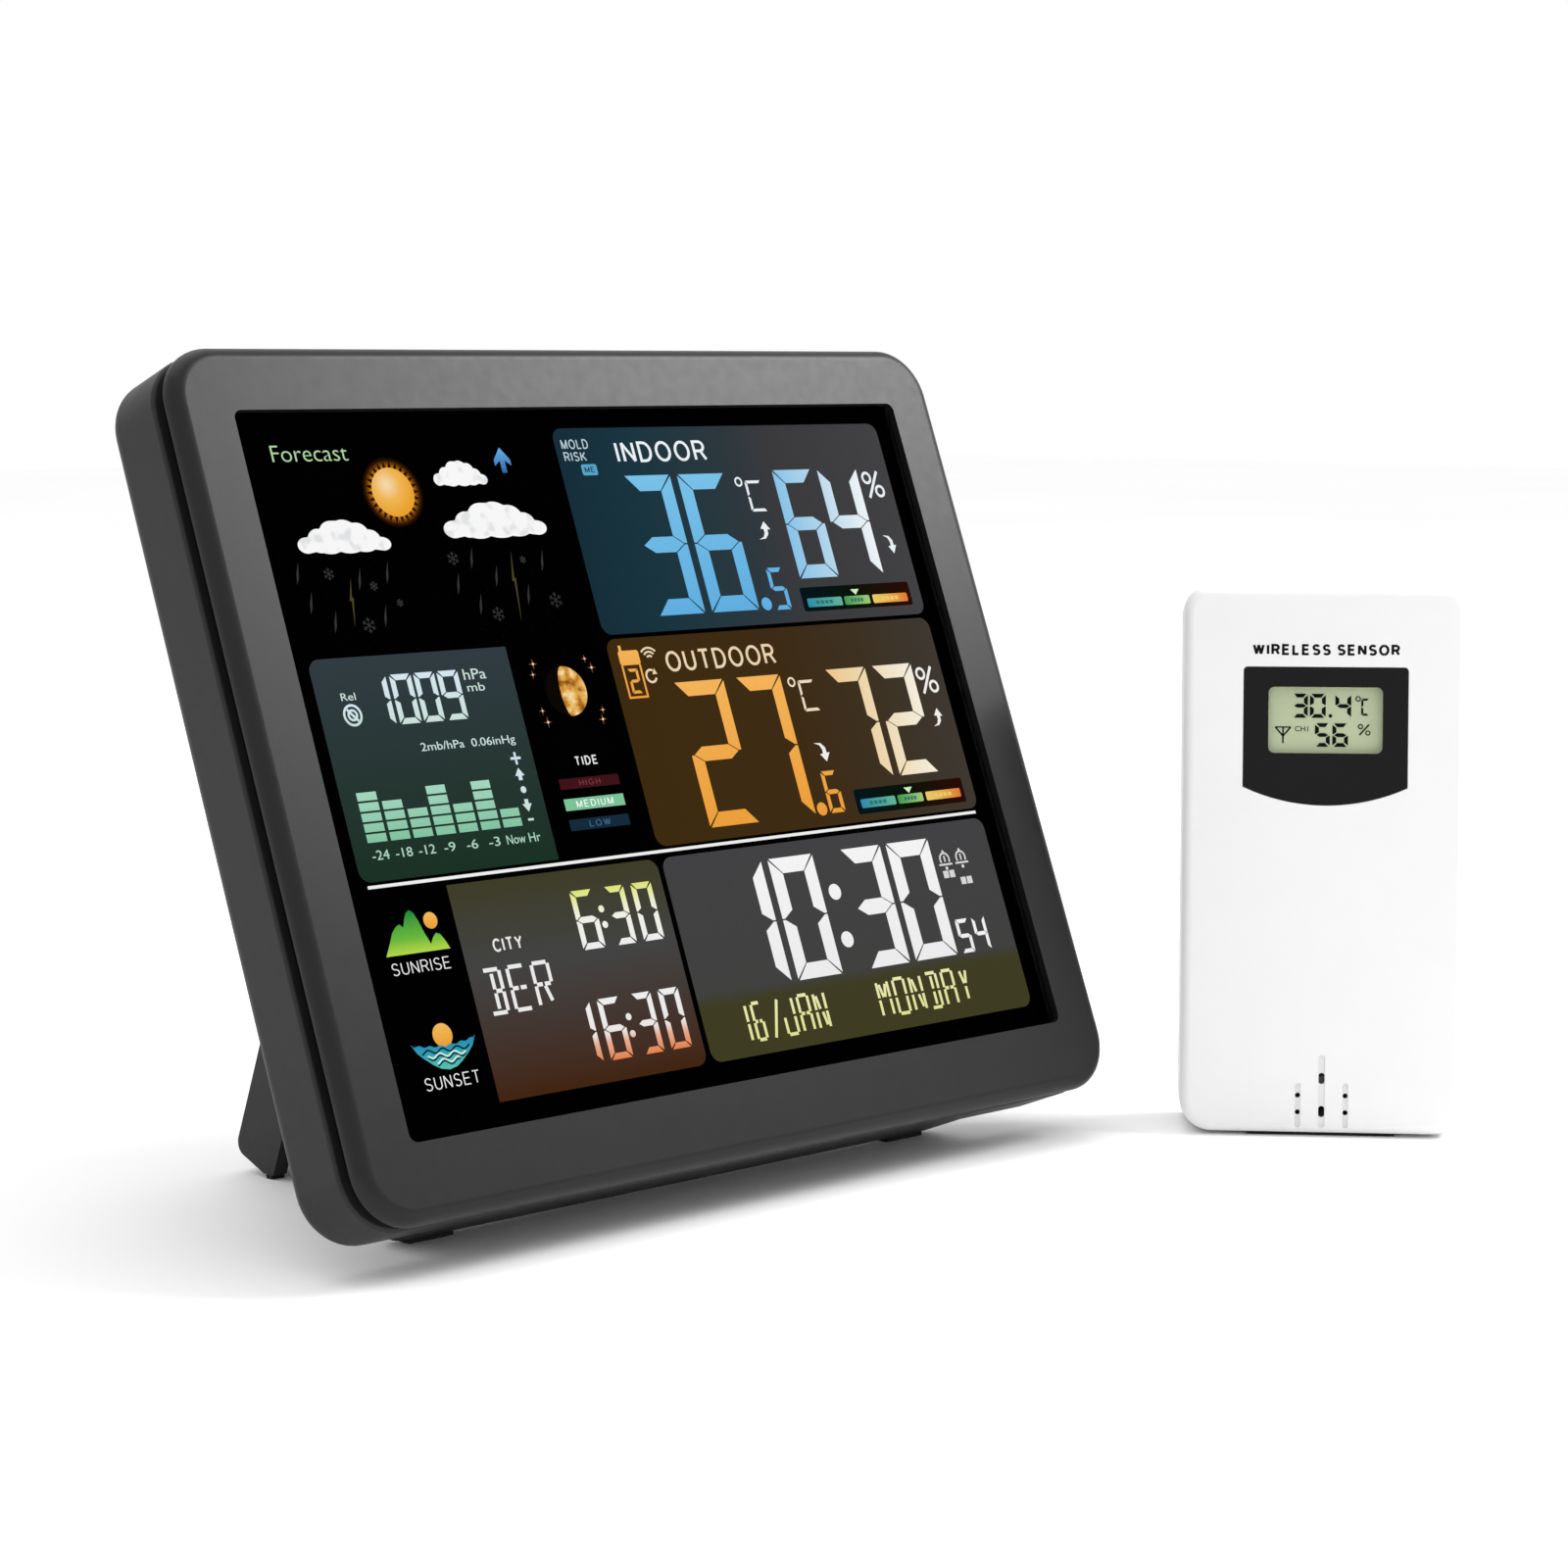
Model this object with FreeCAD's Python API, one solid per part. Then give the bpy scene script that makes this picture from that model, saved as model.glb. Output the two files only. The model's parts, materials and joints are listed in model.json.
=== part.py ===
import FreeCAD, Part
import math
import os

from FreeCAD import Placement, Rotation, Vector

# Home weather station: a display console that leans on a fold-out stand, and its wireless outdoor sensor.
# Millimetres. The finished set stands on z = 0 with the console's screen facing -Y.
# Both housings are drawn upright in their own frame, x to the right seen from the front, y back from
# the front face and z up from the bottom edge, and are then leaned, turned and set down.

# ---- console: driving dimensions ----
CONSOLE_W = 178.0
CONSOLE_H = 149.0
CORNER_R = 10.0
LEAN = 21.2                 # degrees the console leans back
FRAME_DEPTH = 2.8           # depth of the front frame's rounded rim
FRAME_PLATE = 2.4           # thickness of the front frame behind its face
RIM_R = 2.6                 # rounding of the front frame's outer edge
GROOVE = 3.1                # shadow gap between front frame and rear shell
SHELL_LIP_R = 0.7           # rounding of the shell's edge at that gap
SHELL_FRONT = FRAME_DEPTH + GROOVE
SHELL_BACK = 20.0           # depth of the shell at its sides
HUMP_BACK = 31.0            # depth of the raised middle of the back
HUMP_HALF_W = 67.0
HUMP_TOP = 138.0
HUMP_CORNER_R = 4.5
WALL = 2.0
EDGE_R = 3.0                # rounding of the back edges
TONGUE_INSET = WALL + 0.1
TONGUE_T = 1.2
TONGUE_BACK = 8.0

# display window and the stack behind it
WINDOW_W, WINDOW_H = 155.5, 124.4
WINDOW_BOTTOM = 13.0
WINDOW_R = 1.6
WINDOW_MID = WINDOW_BOTTOM + WINDOW_H / 2
WINDOW_TOP = WINDOW_BOTTOM + WINDOW_H
LENS_FRONT, LENS_T, LENS_LAP = 1.5, 1.2, 1.8
LENS_R, LENS_PLAY = 2.0, 0.1
LCD_FRONT, LCD_BACK = 3.4, 5.6
LCD_W, LCD_H = 157.4, 126.0
GUIDE_FRONT, GUIDE_T = 6.0, 3.0
GUIDE_W, GUIDE_BOTTOM, GUIDE_TOP = 154.6, 16.2, 134.5
LED_COUNT, LED_PITCH = 8, 15.0
STRIP_HALF_W, STRIP_BOTTOM, STRIP_TOP = 60.0, 136.0, 136.9
ZEBRA_HALF_W, ZEBRA_BOTTOM, ZEBRA_TOP = 62.0, 14.2, 15.8
CARRIER_FRONT = 2.8
CARRIER_HALF_W, CARRIER_BOTTOM, CARRIER_TOP = 80.2, 10.9, 139.4
BOARD_FRONT, BOARD_T = 10.4, 1.6
BOARD_BACK = BOARD_FRONT + BOARD_T
BOARD_HALF_W, BOARD_BOTTOM, BOARD_TOP = 74.0, 11.2, 139.2

# fasteners
POST_R, POST_BACK, BOSS_R = 2.6, 14.0, 3.8
SMALL_POST_R, EAR_FRONT, EAR_BACK = 2.2, 8.3, 9.8
CASE_TIP, CASE_SEAT, CARRIER_TIP, BOARD_TIP = 6.5, 16.6, 4.2, 6.6
SCREW_R, SCREW_HEAD_R, SCREW_HEAD_T = 1.3, 2.4, 1.8
SMALL_SCREW_R, SMALL_HEAD_R, SMALL_HEAD_T = 0.9, 1.8, 1.1
SCREW_GAP = 0.02            # radial play of a screw in the hole it is driven into
CASE_SCREWS = [(-78.0, 6.8), (78.0, 6.8), (-78.0, 142.6), (78.0, 142.6), (0.0, 142.8)]
CARRIER_SCREWS = [(-40.0, 142.6), (40.0, 142.6), (-40.0, 7.0), (40.0, 7.0)]
BOARD_SCREWS = [(-70.0, 13.8), (70.0, 13.8), (-70.0, 136.9), (70.0, 136.9)]

# fold-out stand, drawn folded into the back
STAND_OPEN = 42.5           # degrees between folded and open
STAND_HALF_W = 50.0
STAND_T = 3.8
FLANGE_T = 3.0
FLANGE_FRONT = 19.2         # how deep the side flanges reach into the back
HINGE_Y, HINGE_Z = 27.9, 88.0
BARREL_R = 3.1
ROD_R, ROD_HALF_L, HINGE_PLAY = 1.5, 53.4, 0.05
PAD_T = 0.8                 # rubber pads under the back edge and on the flanges
FACET_Y = 27.4              # where the ground-parallel facet under the back edge starts
STAND_BOTTOM = 2.5
RECESS_BOTTOM, RECESS_TOP = 1.8, 91.6
RECESS_PLAY = 0.6

# battery bay of the console: three AAA cells side by side
CELL_R, CELL_L, CELL_PITCH = 5.25, 43.3, 11.3
NUB_R, NUB_L = 1.9, 1.2
CONTACT_T = 0.5
SPRING_R, SPRING_WIRE_R, SPRING_TURNS = 3.0, 0.35, 4
BAY_HALF_W, BAY_BOTTOM, BAY_TOP = 27.0, 98.6, 133.4
BAY_FLOOR, BAY_WALL = 17.2, 1.5
CELL_Y = 22.6
DOOR_HALF_W, DOOR_BOTTOM = 29.9, 96.1
DOOR_T, RUNNER_T, RUNNER_LAP = 1.6, 1.3, 1.6
DOOR_PLAY = 0.2
RUNNER_FRONT, RUNNER_BOTTOM, RUNNER_TOP = HUMP_BACK - DOOR_T - RUNNER_T, 98.0, 134.4

# key column on the back
KEY_X = 58.8
KEY_Z = [13.0 + 13.0 * i for i in range(6)]
KEY_NAMES = ["key_set", "key_up", "key_down", "key_channel", "key_alarm", "key_light"]
KEY_W, KEY_H, KEY_PROUD, KEY_PLAY = 8.0, 5.6, 0.9, 0.2
KEY_BOARD_FRONT, KEY_BOARD_BACK = 20.4, 21.6
SWITCH_BACK, PLUNGER_BACK, PLUNGER_R = 25.0, 25.9, 1.7
KEY_TRAVEL, KEY_FLANGE_FRONT, KEY_FLANGE_BACK = 0.6, 27.5, 28.7
KEY_BOARD_BOTTOM, KEY_BOARD_TOP, KEY_BOARD_SCREW_Z = 8.0, 83.0, (6.5 + 13.0, 6.5 + 65.0)

# left column on the back: power inlet, room probe and buzzer
LEFT_X = -59.0
INLET_Z, INLET_BORE_R, INLET_PIN_R, INLET_NECK_R = 15.0, 2.0, 0.65, 3.1
PROBE_Z = 39.0
BUZZER_Z, BUZZER_R = 64.0, 6.0
SIDE_BOARD_FRONT, SIDE_BOARD_BACK, SIDE_BOARD_BOTTOM, SIDE_BOARD_TOP = 18.4, 19.6, 8.0, 50.0
SIDE_BOARD_SCREW_Z = (25.0, 47.0)
KEYHOLE_X, KEYHOLE_Z, KEYHOLE_R, KEYHOLE_SLOT, KEYHOLE_RISE = 48.0, 117.0, 4.1, 4.4, 8.0

# ---- outdoor sensor: driving dimensions ----
SENSOR_W = 53.9
SENSOR_TOP = 105.0
SENSOR_BACK = 22.0
SENSOR_R, SENSOR_LOW_R = 4.6, 6.4   # corners at the top and at the bottom
FOOT_T = 0.8                # rubber foot pad under the sensor
SENSOR_SPLIT = 9.6          # where front and rear cover meet
SENSOR_GAP = 0.3
SENSOR_WALL = 1.6
SENSOR_EDGE_R = 2.0
BEZEL_W, BEZEL_TOP, BEZEL_SIDE_BOTTOM, BEZEL_SAG, BEZEL_BACK = 31.0, 89.6, 66.8, 3.45, 1.0
BEZEL_R = 0.8               # its top corners
SENSOR_LCD_BACK = 3.4
PANE_W, PANE_H, PANE_Z, PANE_R = 21.5, 12.5, 79.55, 1.2
VENT_X, VENT_R, VENT_GROOVE = 4.5, 0.48, 0.6
SENSOR_TONGUE_T, SENSOR_TONGUE_PLAY = 1.1, 0.1
SENSOR_POST_BACK, SENSOR_TIP, SENSOR_SEAT = 13.0, 8.0, 17.0
SENSOR_BOARD_FRONT, SENSOR_BOARD_BACK = 6.6, 7.8
SENSOR_SCREWS = [(-21.4, 8.4), (21.4, 8.4), (-21.4, 97.4), (21.4, 97.4)]
SENSOR_BAY_FLOOR = 9.8
SENSOR_BAY_BOTTOM, SENSOR_BAY_TOP = 27.0, 81.0
SENSOR_CELL_X, SENSOR_CELL_Y = 5.7, 15.15
SENSOR_DOOR_HALF_W, SENSOR_DOOR_BOTTOM, SENSOR_DOOR_TOP, SENSOR_DOOR_FRONT = 14.2, 9.0, 84.0, 20.5
SENSOR_KEYHOLE_Z, SENSOR_KEYHOLE_R, SENSOR_KEYHOLE_SLOT, SENSOR_KEYHOLE_RISE = 92.4, 3.2, 3.6, 5.0
SWITCH_X, BUTTON_X, CONTROL_Z = -7.0, 5.5, 17.0
SWITCH_TRAVEL, BUTTON_TRAVEL = 4.0, 0.5

# where the sensor stands beside the console, how far it is turned towards the viewer and leans back
SENSOR_TURN = -49.5
SENSOR_LEAN = 6.6
SENSOR_AT = Vector(114.8, -29.0, 0.0)

SIN_LEAN, COS_LEAN = math.sin(math.radians(LEAN)), math.cos(math.radians(LEAN))
# Height of the console's bottom front edge above the table, with the back edge pads touching it.
CONSOLE_LIFT = FACET_Y * SIN_LEAN + PAD_T


# ---- shapes ----
def box(x0, x1, y0, y1, z0, z1):
    return Part.makeBox(x1 - x0, y1 - y0, z1 - z0, Vector(x0, y0, z0))


def rod(axis, at, r, length):
    """A cylinder of radius r that starts at a point and runs along the named axis."""
    direction = {"x": Vector(1, 0, 0), "y": Vector(0, 1, 0), "z": Vector(0, 0, 1)}[axis]
    return Part.makeCylinder(r, length, Vector(*at), direction)


def corner_arc(cx, cz, r, start, y):
    """A quarter circle in a plane of constant y, from the angle start, in degrees."""
    points = []
    for turn in (0, 45, 90):
        a = math.radians(start + turn)
        points.append(Vector(cx + r * math.cos(a), y, cz + r * math.sin(a)))
    return Part.Arc(*points).toShape()


def rounded_wire(x0, x1, z0, z1, r, y, low_r=None):
    """A rectangle in a plane of constant y, with corners of radius r, or low_r at the bottom."""
    low = low_r or r
    edges = [
        Part.makeLine(Vector(x0 + low, y, z0), Vector(x1 - low, y, z0)),
        corner_arc(x1 - low, z0 + low, low, 270, y),
        Part.makeLine(Vector(x1, y, z0 + low), Vector(x1, y, z1 - r)),
        corner_arc(x1 - r, z1 - r, r, 0, y),
        Part.makeLine(Vector(x1 - r, y, z1), Vector(x0 + r, y, z1)),
        corner_arc(x0 + r, z1 - r, r, 90, y),
        Part.makeLine(Vector(x0, y, z1 - r), Vector(x0, y, z0 + low)),
        corner_arc(x0 + low, z0 + low, low, 180, y),
    ]
    return Part.Wire(Part.__sortEdges__(edges))


def rounded(x0, x1, z0, z1, r, y0, y1, low_r=None):
    """A block along y with that rectangle as its outline."""
    return Part.Face(rounded_wire(x0, x1, z0, z1, r, y0, low_r)).extrude(Vector(0, y1 - y0, 0))


def profile_x(points, x0, x1):
    """A prism along x from a closed outline of (y, z) points."""
    corners = [Vector(x0, y, z) for y, z in points]
    face = Part.Face(Part.makePolygon(corners + corners[:1]))
    return face.extrude(Vector(x1 - x0, 0, 0))


def fillet_plane(shape, y, r, wanted=lambda box: True):
    """Rounds the edges that lie in the plane of that y and whose bounding box is wanted."""
    edges = []
    for edge in shape.Edges:
        b = edge.BoundBox
        if abs(b.YMin - y) < 1e-4 and abs(b.YMax - y) < 1e-4 and wanted(b):
            edges.append(edge)
    return shape.makeFillet(r, edges)


def mirror_x(shape):
    return shape.mirror(Vector(0, 0, 0), Vector(1, 0, 0))


def both_sides(shape):
    return [shape, mirror_x(shape)]


def group(shapes):
    return Part.makeCompound(list(shapes))


def screw(x, z, tip, seat, r, head_r, head_t):
    """A cross-head screw along y, its head behind the seat."""
    body = rod("y", (x, tip, z), r, seat - tip + 0.1).fuse(rod("y", (x, seat, z), head_r, head_t))
    body = body.removeSplitter()
    slot, depth = head_r * 0.55, head_t * 0.45
    back = seat + head_t
    for half_x, half_z in ((slot, 0.22), (0.22, slot)):
        body = body.cut(box(x - half_x, x + half_x, back - depth, back + 1, z - half_z, z + half_z))
    return body


def coil(axis_point, direction, r, wire_r, turns, pitch):
    """A compression spring: a round wire in tilted half turns, each of which meets the next tangentially."""
    halves = []
    for i in range(2 * turns):
        side = 1 if i % 2 == 0 else -1
        start, centre = Vector(side * r, 0, i * pitch / 2), Vector(0, 0, (i + 0.5) * pitch / 2)
        section = Part.Face(Part.Wire(Part.makeCircle(wire_r, start, Vector(0, 1, 0))))
        halves.append(section.revolve(centre, (start - centre).cross(Vector(0, side, 0)), 180))
    spring = halves[0].fuse(halves[1:])
    spring.Placement = Placement(axis_point, Rotation(Vector(0, 0, 1), direction))
    return spring


def keyhole(x, z, r, slot, rise, y0, y1):
    """A round hole with a narrower slot running up from it, along y."""
    shape = rod("y", (x, y0, z), r, y1 - y0)
    shape = shape.fuse(box(x - slot / 2, x + slot / 2, y0, y1, z, z + rise))
    return shape.fuse(rod("y", (x, y0, z + rise), slot / 2, y1 - y0))


# ---- placing ----
console_place = Placement(Vector(0, 0, CONSOLE_LIFT), Rotation(Vector(1, 0, 0), -LEAN))
sensor_spot = Placement(SENSOR_AT, Rotation(Vector(0, 0, 1), SENSOR_TURN))
sensor_place = sensor_spot.multiply(Placement(Vector(0, 0, 0), Rotation(Vector(1, 0, 0), -SENSOR_LEAN)))
stand_open = Placement(
    Vector(0, 0, 0), Rotation(Vector(1, 0, 0), STAND_OPEN), Vector(0, HINGE_Y, HINGE_Z)
)

nodes = {}


def moved(shape, place):
    result = shape.copy()
    result.Placement = place.multiply(result.Placement)
    return result


def console(name, shape):
    nodes[name] = moved(shape, console_place)


def sensor(name, shape):
    nodes[name] = moved(shape, sensor_place)


def above_floor(shape, height, place=console_place):
    """Cuts off what would lie below a height over the floor, for a shape in a housing's frame."""
    floor = moved(box(-300, 300, -300, 300, -100, height), place.inverse())
    return shape.cut(floor)


def console_outline(inset, y0, y1):
    half_w = CONSOLE_W / 2 - inset
    return rounded(-half_w, half_w, inset, CONSOLE_H - inset, CORNER_R - inset, y0, y1)


# ---- console front ----
def make_front_frame():
    body = fillet_plane(console_outline(0, 0, FRAME_DEPTH), 0, RIM_R)
    tongue_inner = TONGUE_INSET + TONGUE_T
    body = body.cut(console_outline(tongue_inner, FRAME_PLATE, FRAME_DEPTH + 1))
    tongue = console_outline(TONGUE_INSET, FRAME_PLATE, TONGUE_BACK)
    body = body.fuse(tongue.cut(console_outline(tongue_inner, FRAME_PLATE - 1, TONGUE_BACK + 1)))
    half_w = WINDOW_W / 2
    lap = LENS_LAP + LENS_PLAY
    body = body.cut(rounded(-half_w, half_w, WINDOW_BOTTOM, WINDOW_TOP, WINDOW_R, -1, FRAME_DEPTH))
    body = body.cut(rounded(-half_w - lap, half_w + lap, WINDOW_BOTTOM - lap, WINDOW_TOP + lap,
                            LENS_R, LENS_FRONT, FRAME_DEPTH))
    for x, z in CASE_SCREWS:
        body = body.fuse(rod("y", (x, FRAME_PLATE - 0.5, z), POST_R, POST_BACK - FRAME_PLATE + 0.5))
        body = body.cut(rod("y", (x, CASE_TIP - 0.5, z), SCREW_R + SCREW_GAP, 20))
    for x, z in CARRIER_SCREWS:
        body = body.fuse(rod("y", (x, FRAME_PLATE - 0.5, z), SMALL_POST_R, EAR_FRONT - FRAME_PLATE + 0.5))
        body = body.cut(rod("y", (x, CARRIER_TIP - 0.5, z), SMALL_SCREW_R + SCREW_GAP, 20))
    console("front_frame", body.removeSplitter())


def make_display():
    half_w = WINDOW_W / 2 + LENS_LAP
    console("display_lens", rounded(-half_w, half_w, WINDOW_BOTTOM - LENS_LAP, WINDOW_TOP + LENS_LAP,
                                    LENS_R, LENS_FRONT, LENS_FRONT + LENS_T))
    lcd_z0, lcd_z1 = WINDOW_MID - LCD_H / 2, WINDOW_MID + LCD_H / 2
    console("lcd_panel", box(-LCD_W / 2, LCD_W / 2, LCD_FRONT, LCD_BACK, lcd_z0, lcd_z1))
    console("diffuser_film", box(-GUIDE_W / 2, GUIDE_W / 2, LCD_BACK + 0.05, GUIDE_FRONT - 0.05,
                                 GUIDE_BOTTOM, GUIDE_TOP))
    console("light_guide", box(-GUIDE_W / 2, GUIDE_W / 2, GUIDE_FRONT, GUIDE_FRONT + GUIDE_T,
                               GUIDE_BOTTOM, GUIDE_TOP))
    leds = []
    for i in range(LED_COUNT):
        x = (i - (LED_COUNT - 1) / 2) * LED_PITCH
        leds.append(box(x - 2, x + 2, GUIDE_FRONT + 0.2, GUIDE_FRONT + GUIDE_T - 0.2,
                        GUIDE_TOP + 0.1, STRIP_BOTTOM))
    console("backlight_leds", group(leds))
    console("backlight_strip", box(-STRIP_HALF_W, STRIP_HALF_W, GUIDE_FRONT, GUIDE_FRONT + GUIDE_T,
                                   STRIP_BOTTOM, STRIP_TOP))
    strips = [box(x0, x1, LCD_BACK, BOARD_FRONT, ZEBRA_BOTTOM, ZEBRA_TOP)
              for x0, x1 in ((-ZEBRA_HALF_W, -3), (3, ZEBRA_HALF_W))]
    console("connector_strips", group(strips))


def make_carrier():
    """The frame that holds the LCD from the front and its light guide from the back."""
    body = box(-CARRIER_HALF_W, CARRIER_HALF_W, CARRIER_FRONT, BOARD_FRONT, CARRIER_BOTTOM, CARRIER_TOP)
    for x, z in CARRIER_SCREWS:
        z0, z1 = (z - 2.6, CARRIER_BOTTOM + 1) if z < WINDOW_MID else (CARRIER_TOP - 1, z + 2.6)
        body = body.fuse(box(x - 4, x + 4, EAR_FRONT, EAR_BACK, z0, z1))
        body = body.cut(rod("y", (x, 0, z), SMALL_SCREW_R + SCREW_GAP, 20))
    play = 0.1
    lcd_half_w, lcd_half_h = LCD_W / 2 + play, LCD_H / 2 + play
    body = body.cut(box(-lcd_half_w, lcd_half_w, 0, LCD_BACK, WINDOW_MID - lcd_half_h,
                        WINDOW_MID + lcd_half_h))
    guide_half_w = GUIDE_W / 2 + play
    body = body.cut(box(-guide_half_w, guide_half_w, 0, 20, GUIDE_BOTTOM - play, GUIDE_TOP + play))
    body = body.cut(box(-STRIP_HALF_W - play, STRIP_HALF_W + play, GUIDE_FRONT - play,
                        GUIDE_FRONT + GUIDE_T + play, GUIDE_TOP, STRIP_TOP + play))
    for x0, x1 in ((-ZEBRA_HALF_W, -3), (3, ZEBRA_HALF_W)):
        body = body.cut(box(x0 - play, x1 + play, LCD_FRONT, 20, ZEBRA_BOTTOM - play, GUIDE_BOTTOM))
    for x, z in BOARD_SCREWS:
        body = body.cut(rod("y", (x, BOARD_TIP - 0.3, z), SMALL_SCREW_R + SCREW_GAP, 20))
    console("lcd_carrier", body.removeSplitter())


def make_boards():
    board = box(-BOARD_HALF_W, BOARD_HALF_W, BOARD_FRONT, BOARD_BACK, BOARD_BOTTOM, BOARD_TOP)
    for x, z in BOARD_SCREWS:
        board = board.cut(rod("y", (x, 0, z), SMALL_SCREW_R + SCREW_GAP, 20))
    console("main_board", board)
    console("controller_chip", box(-38, -24, BOARD_BACK, BOARD_BACK + 1.6, 56, 70))
    console("radio_module", box(12, 30, BOARD_BACK, BOARD_BACK + 2.4, 56, 72))
    antenna = coil(Vector(12, BOARD_BACK + 3.2, 46), Vector(1, 0, 0), 2.4, 0.35, 8, 2.2)
    console("antenna", antenna)


# ---- console back ----
def hump_outline(inset, y0, y1):
    half_w = HUMP_HALF_W - inset
    return rounded(-half_w, half_w, inset, HUMP_TOP - inset, HUMP_CORNER_R - inset, y0, y1)


def hump_outside():
    return fillet_plane(hump_outline(0, SHELL_FRONT + 2, HUMP_BACK), HUMP_BACK, EDGE_R)


def back_outside():
    shell = fillet_plane(console_outline(0, SHELL_FRONT, SHELL_BACK), SHELL_BACK, EDGE_R)
    shell = fillet_plane(shell, SHELL_FRONT, SHELL_LIP_R)
    return above_floor(shell.fuse(hump_outside()), PAD_T)


def stand_recess():
    """The space the folded stand fills: a shallow pocket, two side slots and the hinge groove."""
    half_w = STAND_HALF_W + RECESS_PLAY
    slot_half_w = STAND_HALF_W - FLANGE_T - RECESS_PLAY
    pocket_front = HUMP_BACK - STAND_T - RECESS_PLAY
    space = box(-half_w, half_w, pocket_front, HUMP_BACK + 1, RECESS_BOTTOM, RECESS_TOP)
    for side in both_sides(box(slot_half_w, half_w, FLANGE_FRONT - RECESS_PLAY, HUMP_BACK,
                               RECESS_BOTTOM, RECESS_TOP)):
        space = space.fuse(side)
    return space.fuse(rod("x", (-half_w, HINGE_Y, HINGE_Z), BARREL_R + RECESS_PLAY, 2 * half_w))


def recess_walls():
    """The tub of material that encloses the stand recess."""
    half_w = STAND_HALF_W + RECESS_PLAY + WALL
    slot_half_w = STAND_HALF_W - FLANGE_T - RECESS_PLAY - WALL
    front = HUMP_BACK - STAND_T - RECESS_PLAY - WALL
    top = RECESS_TOP + WALL
    walls = box(-half_w, half_w, front, HUMP_BACK, 0, top)
    for side in both_sides(box(slot_half_w, half_w, FLANGE_FRONT - RECESS_PLAY - WALL, HUMP_BACK, 0, top)):
        walls = walls.fuse(side)
    for ear in both_sides(box(half_w - 1, ROD_HALF_L + WALL, HINGE_Y - 4, HUMP_BACK, HINGE_Z - 4.2, top)):
        walls = walls.fuse(ear)
    return walls.fuse(box(-half_w, half_w, HINGE_Y - BARREL_R - RECESS_PLAY - WALL, HUMP_BACK,
                          HINGE_Z - BARREL_R - RECESS_PLAY - WALL, top))


def bay_walls():
    tub = box(-BAY_HALF_W - BAY_WALL, BAY_HALF_W + BAY_WALL, BAY_FLOOR - BAY_WALL, HUMP_BACK,
              BAY_BOTTOM - BAY_WALL, BAY_TOP + BAY_WALL)
    frame_half_w = DOOR_HALF_W + RUNNER_LAP + WALL
    return tub.fuse(box(-frame_half_w, frame_half_w, RUNNER_FRONT - WALL, HUMP_BACK,
                        DOOR_BOTTOM - WALL, HUMP_TOP))


def door_plate(play):
    half_w = DOOR_HALF_W + play
    return box(-half_w, half_w, HUMP_BACK - DOOR_T - play, HUMP_BACK + play, DOOR_BOTTOM - play,
               HUMP_TOP + play)


def door_runner(play):
    half_w = DOOR_HALF_W + RUNNER_LAP + play
    top = RUNNER_TOP if play == 0 else HUMP_TOP + 1
    return box(-half_w, half_w, RUNNER_FRONT - play, HUMP_BACK - DOOR_T, RUNNER_BOTTOM - play, top)


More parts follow.
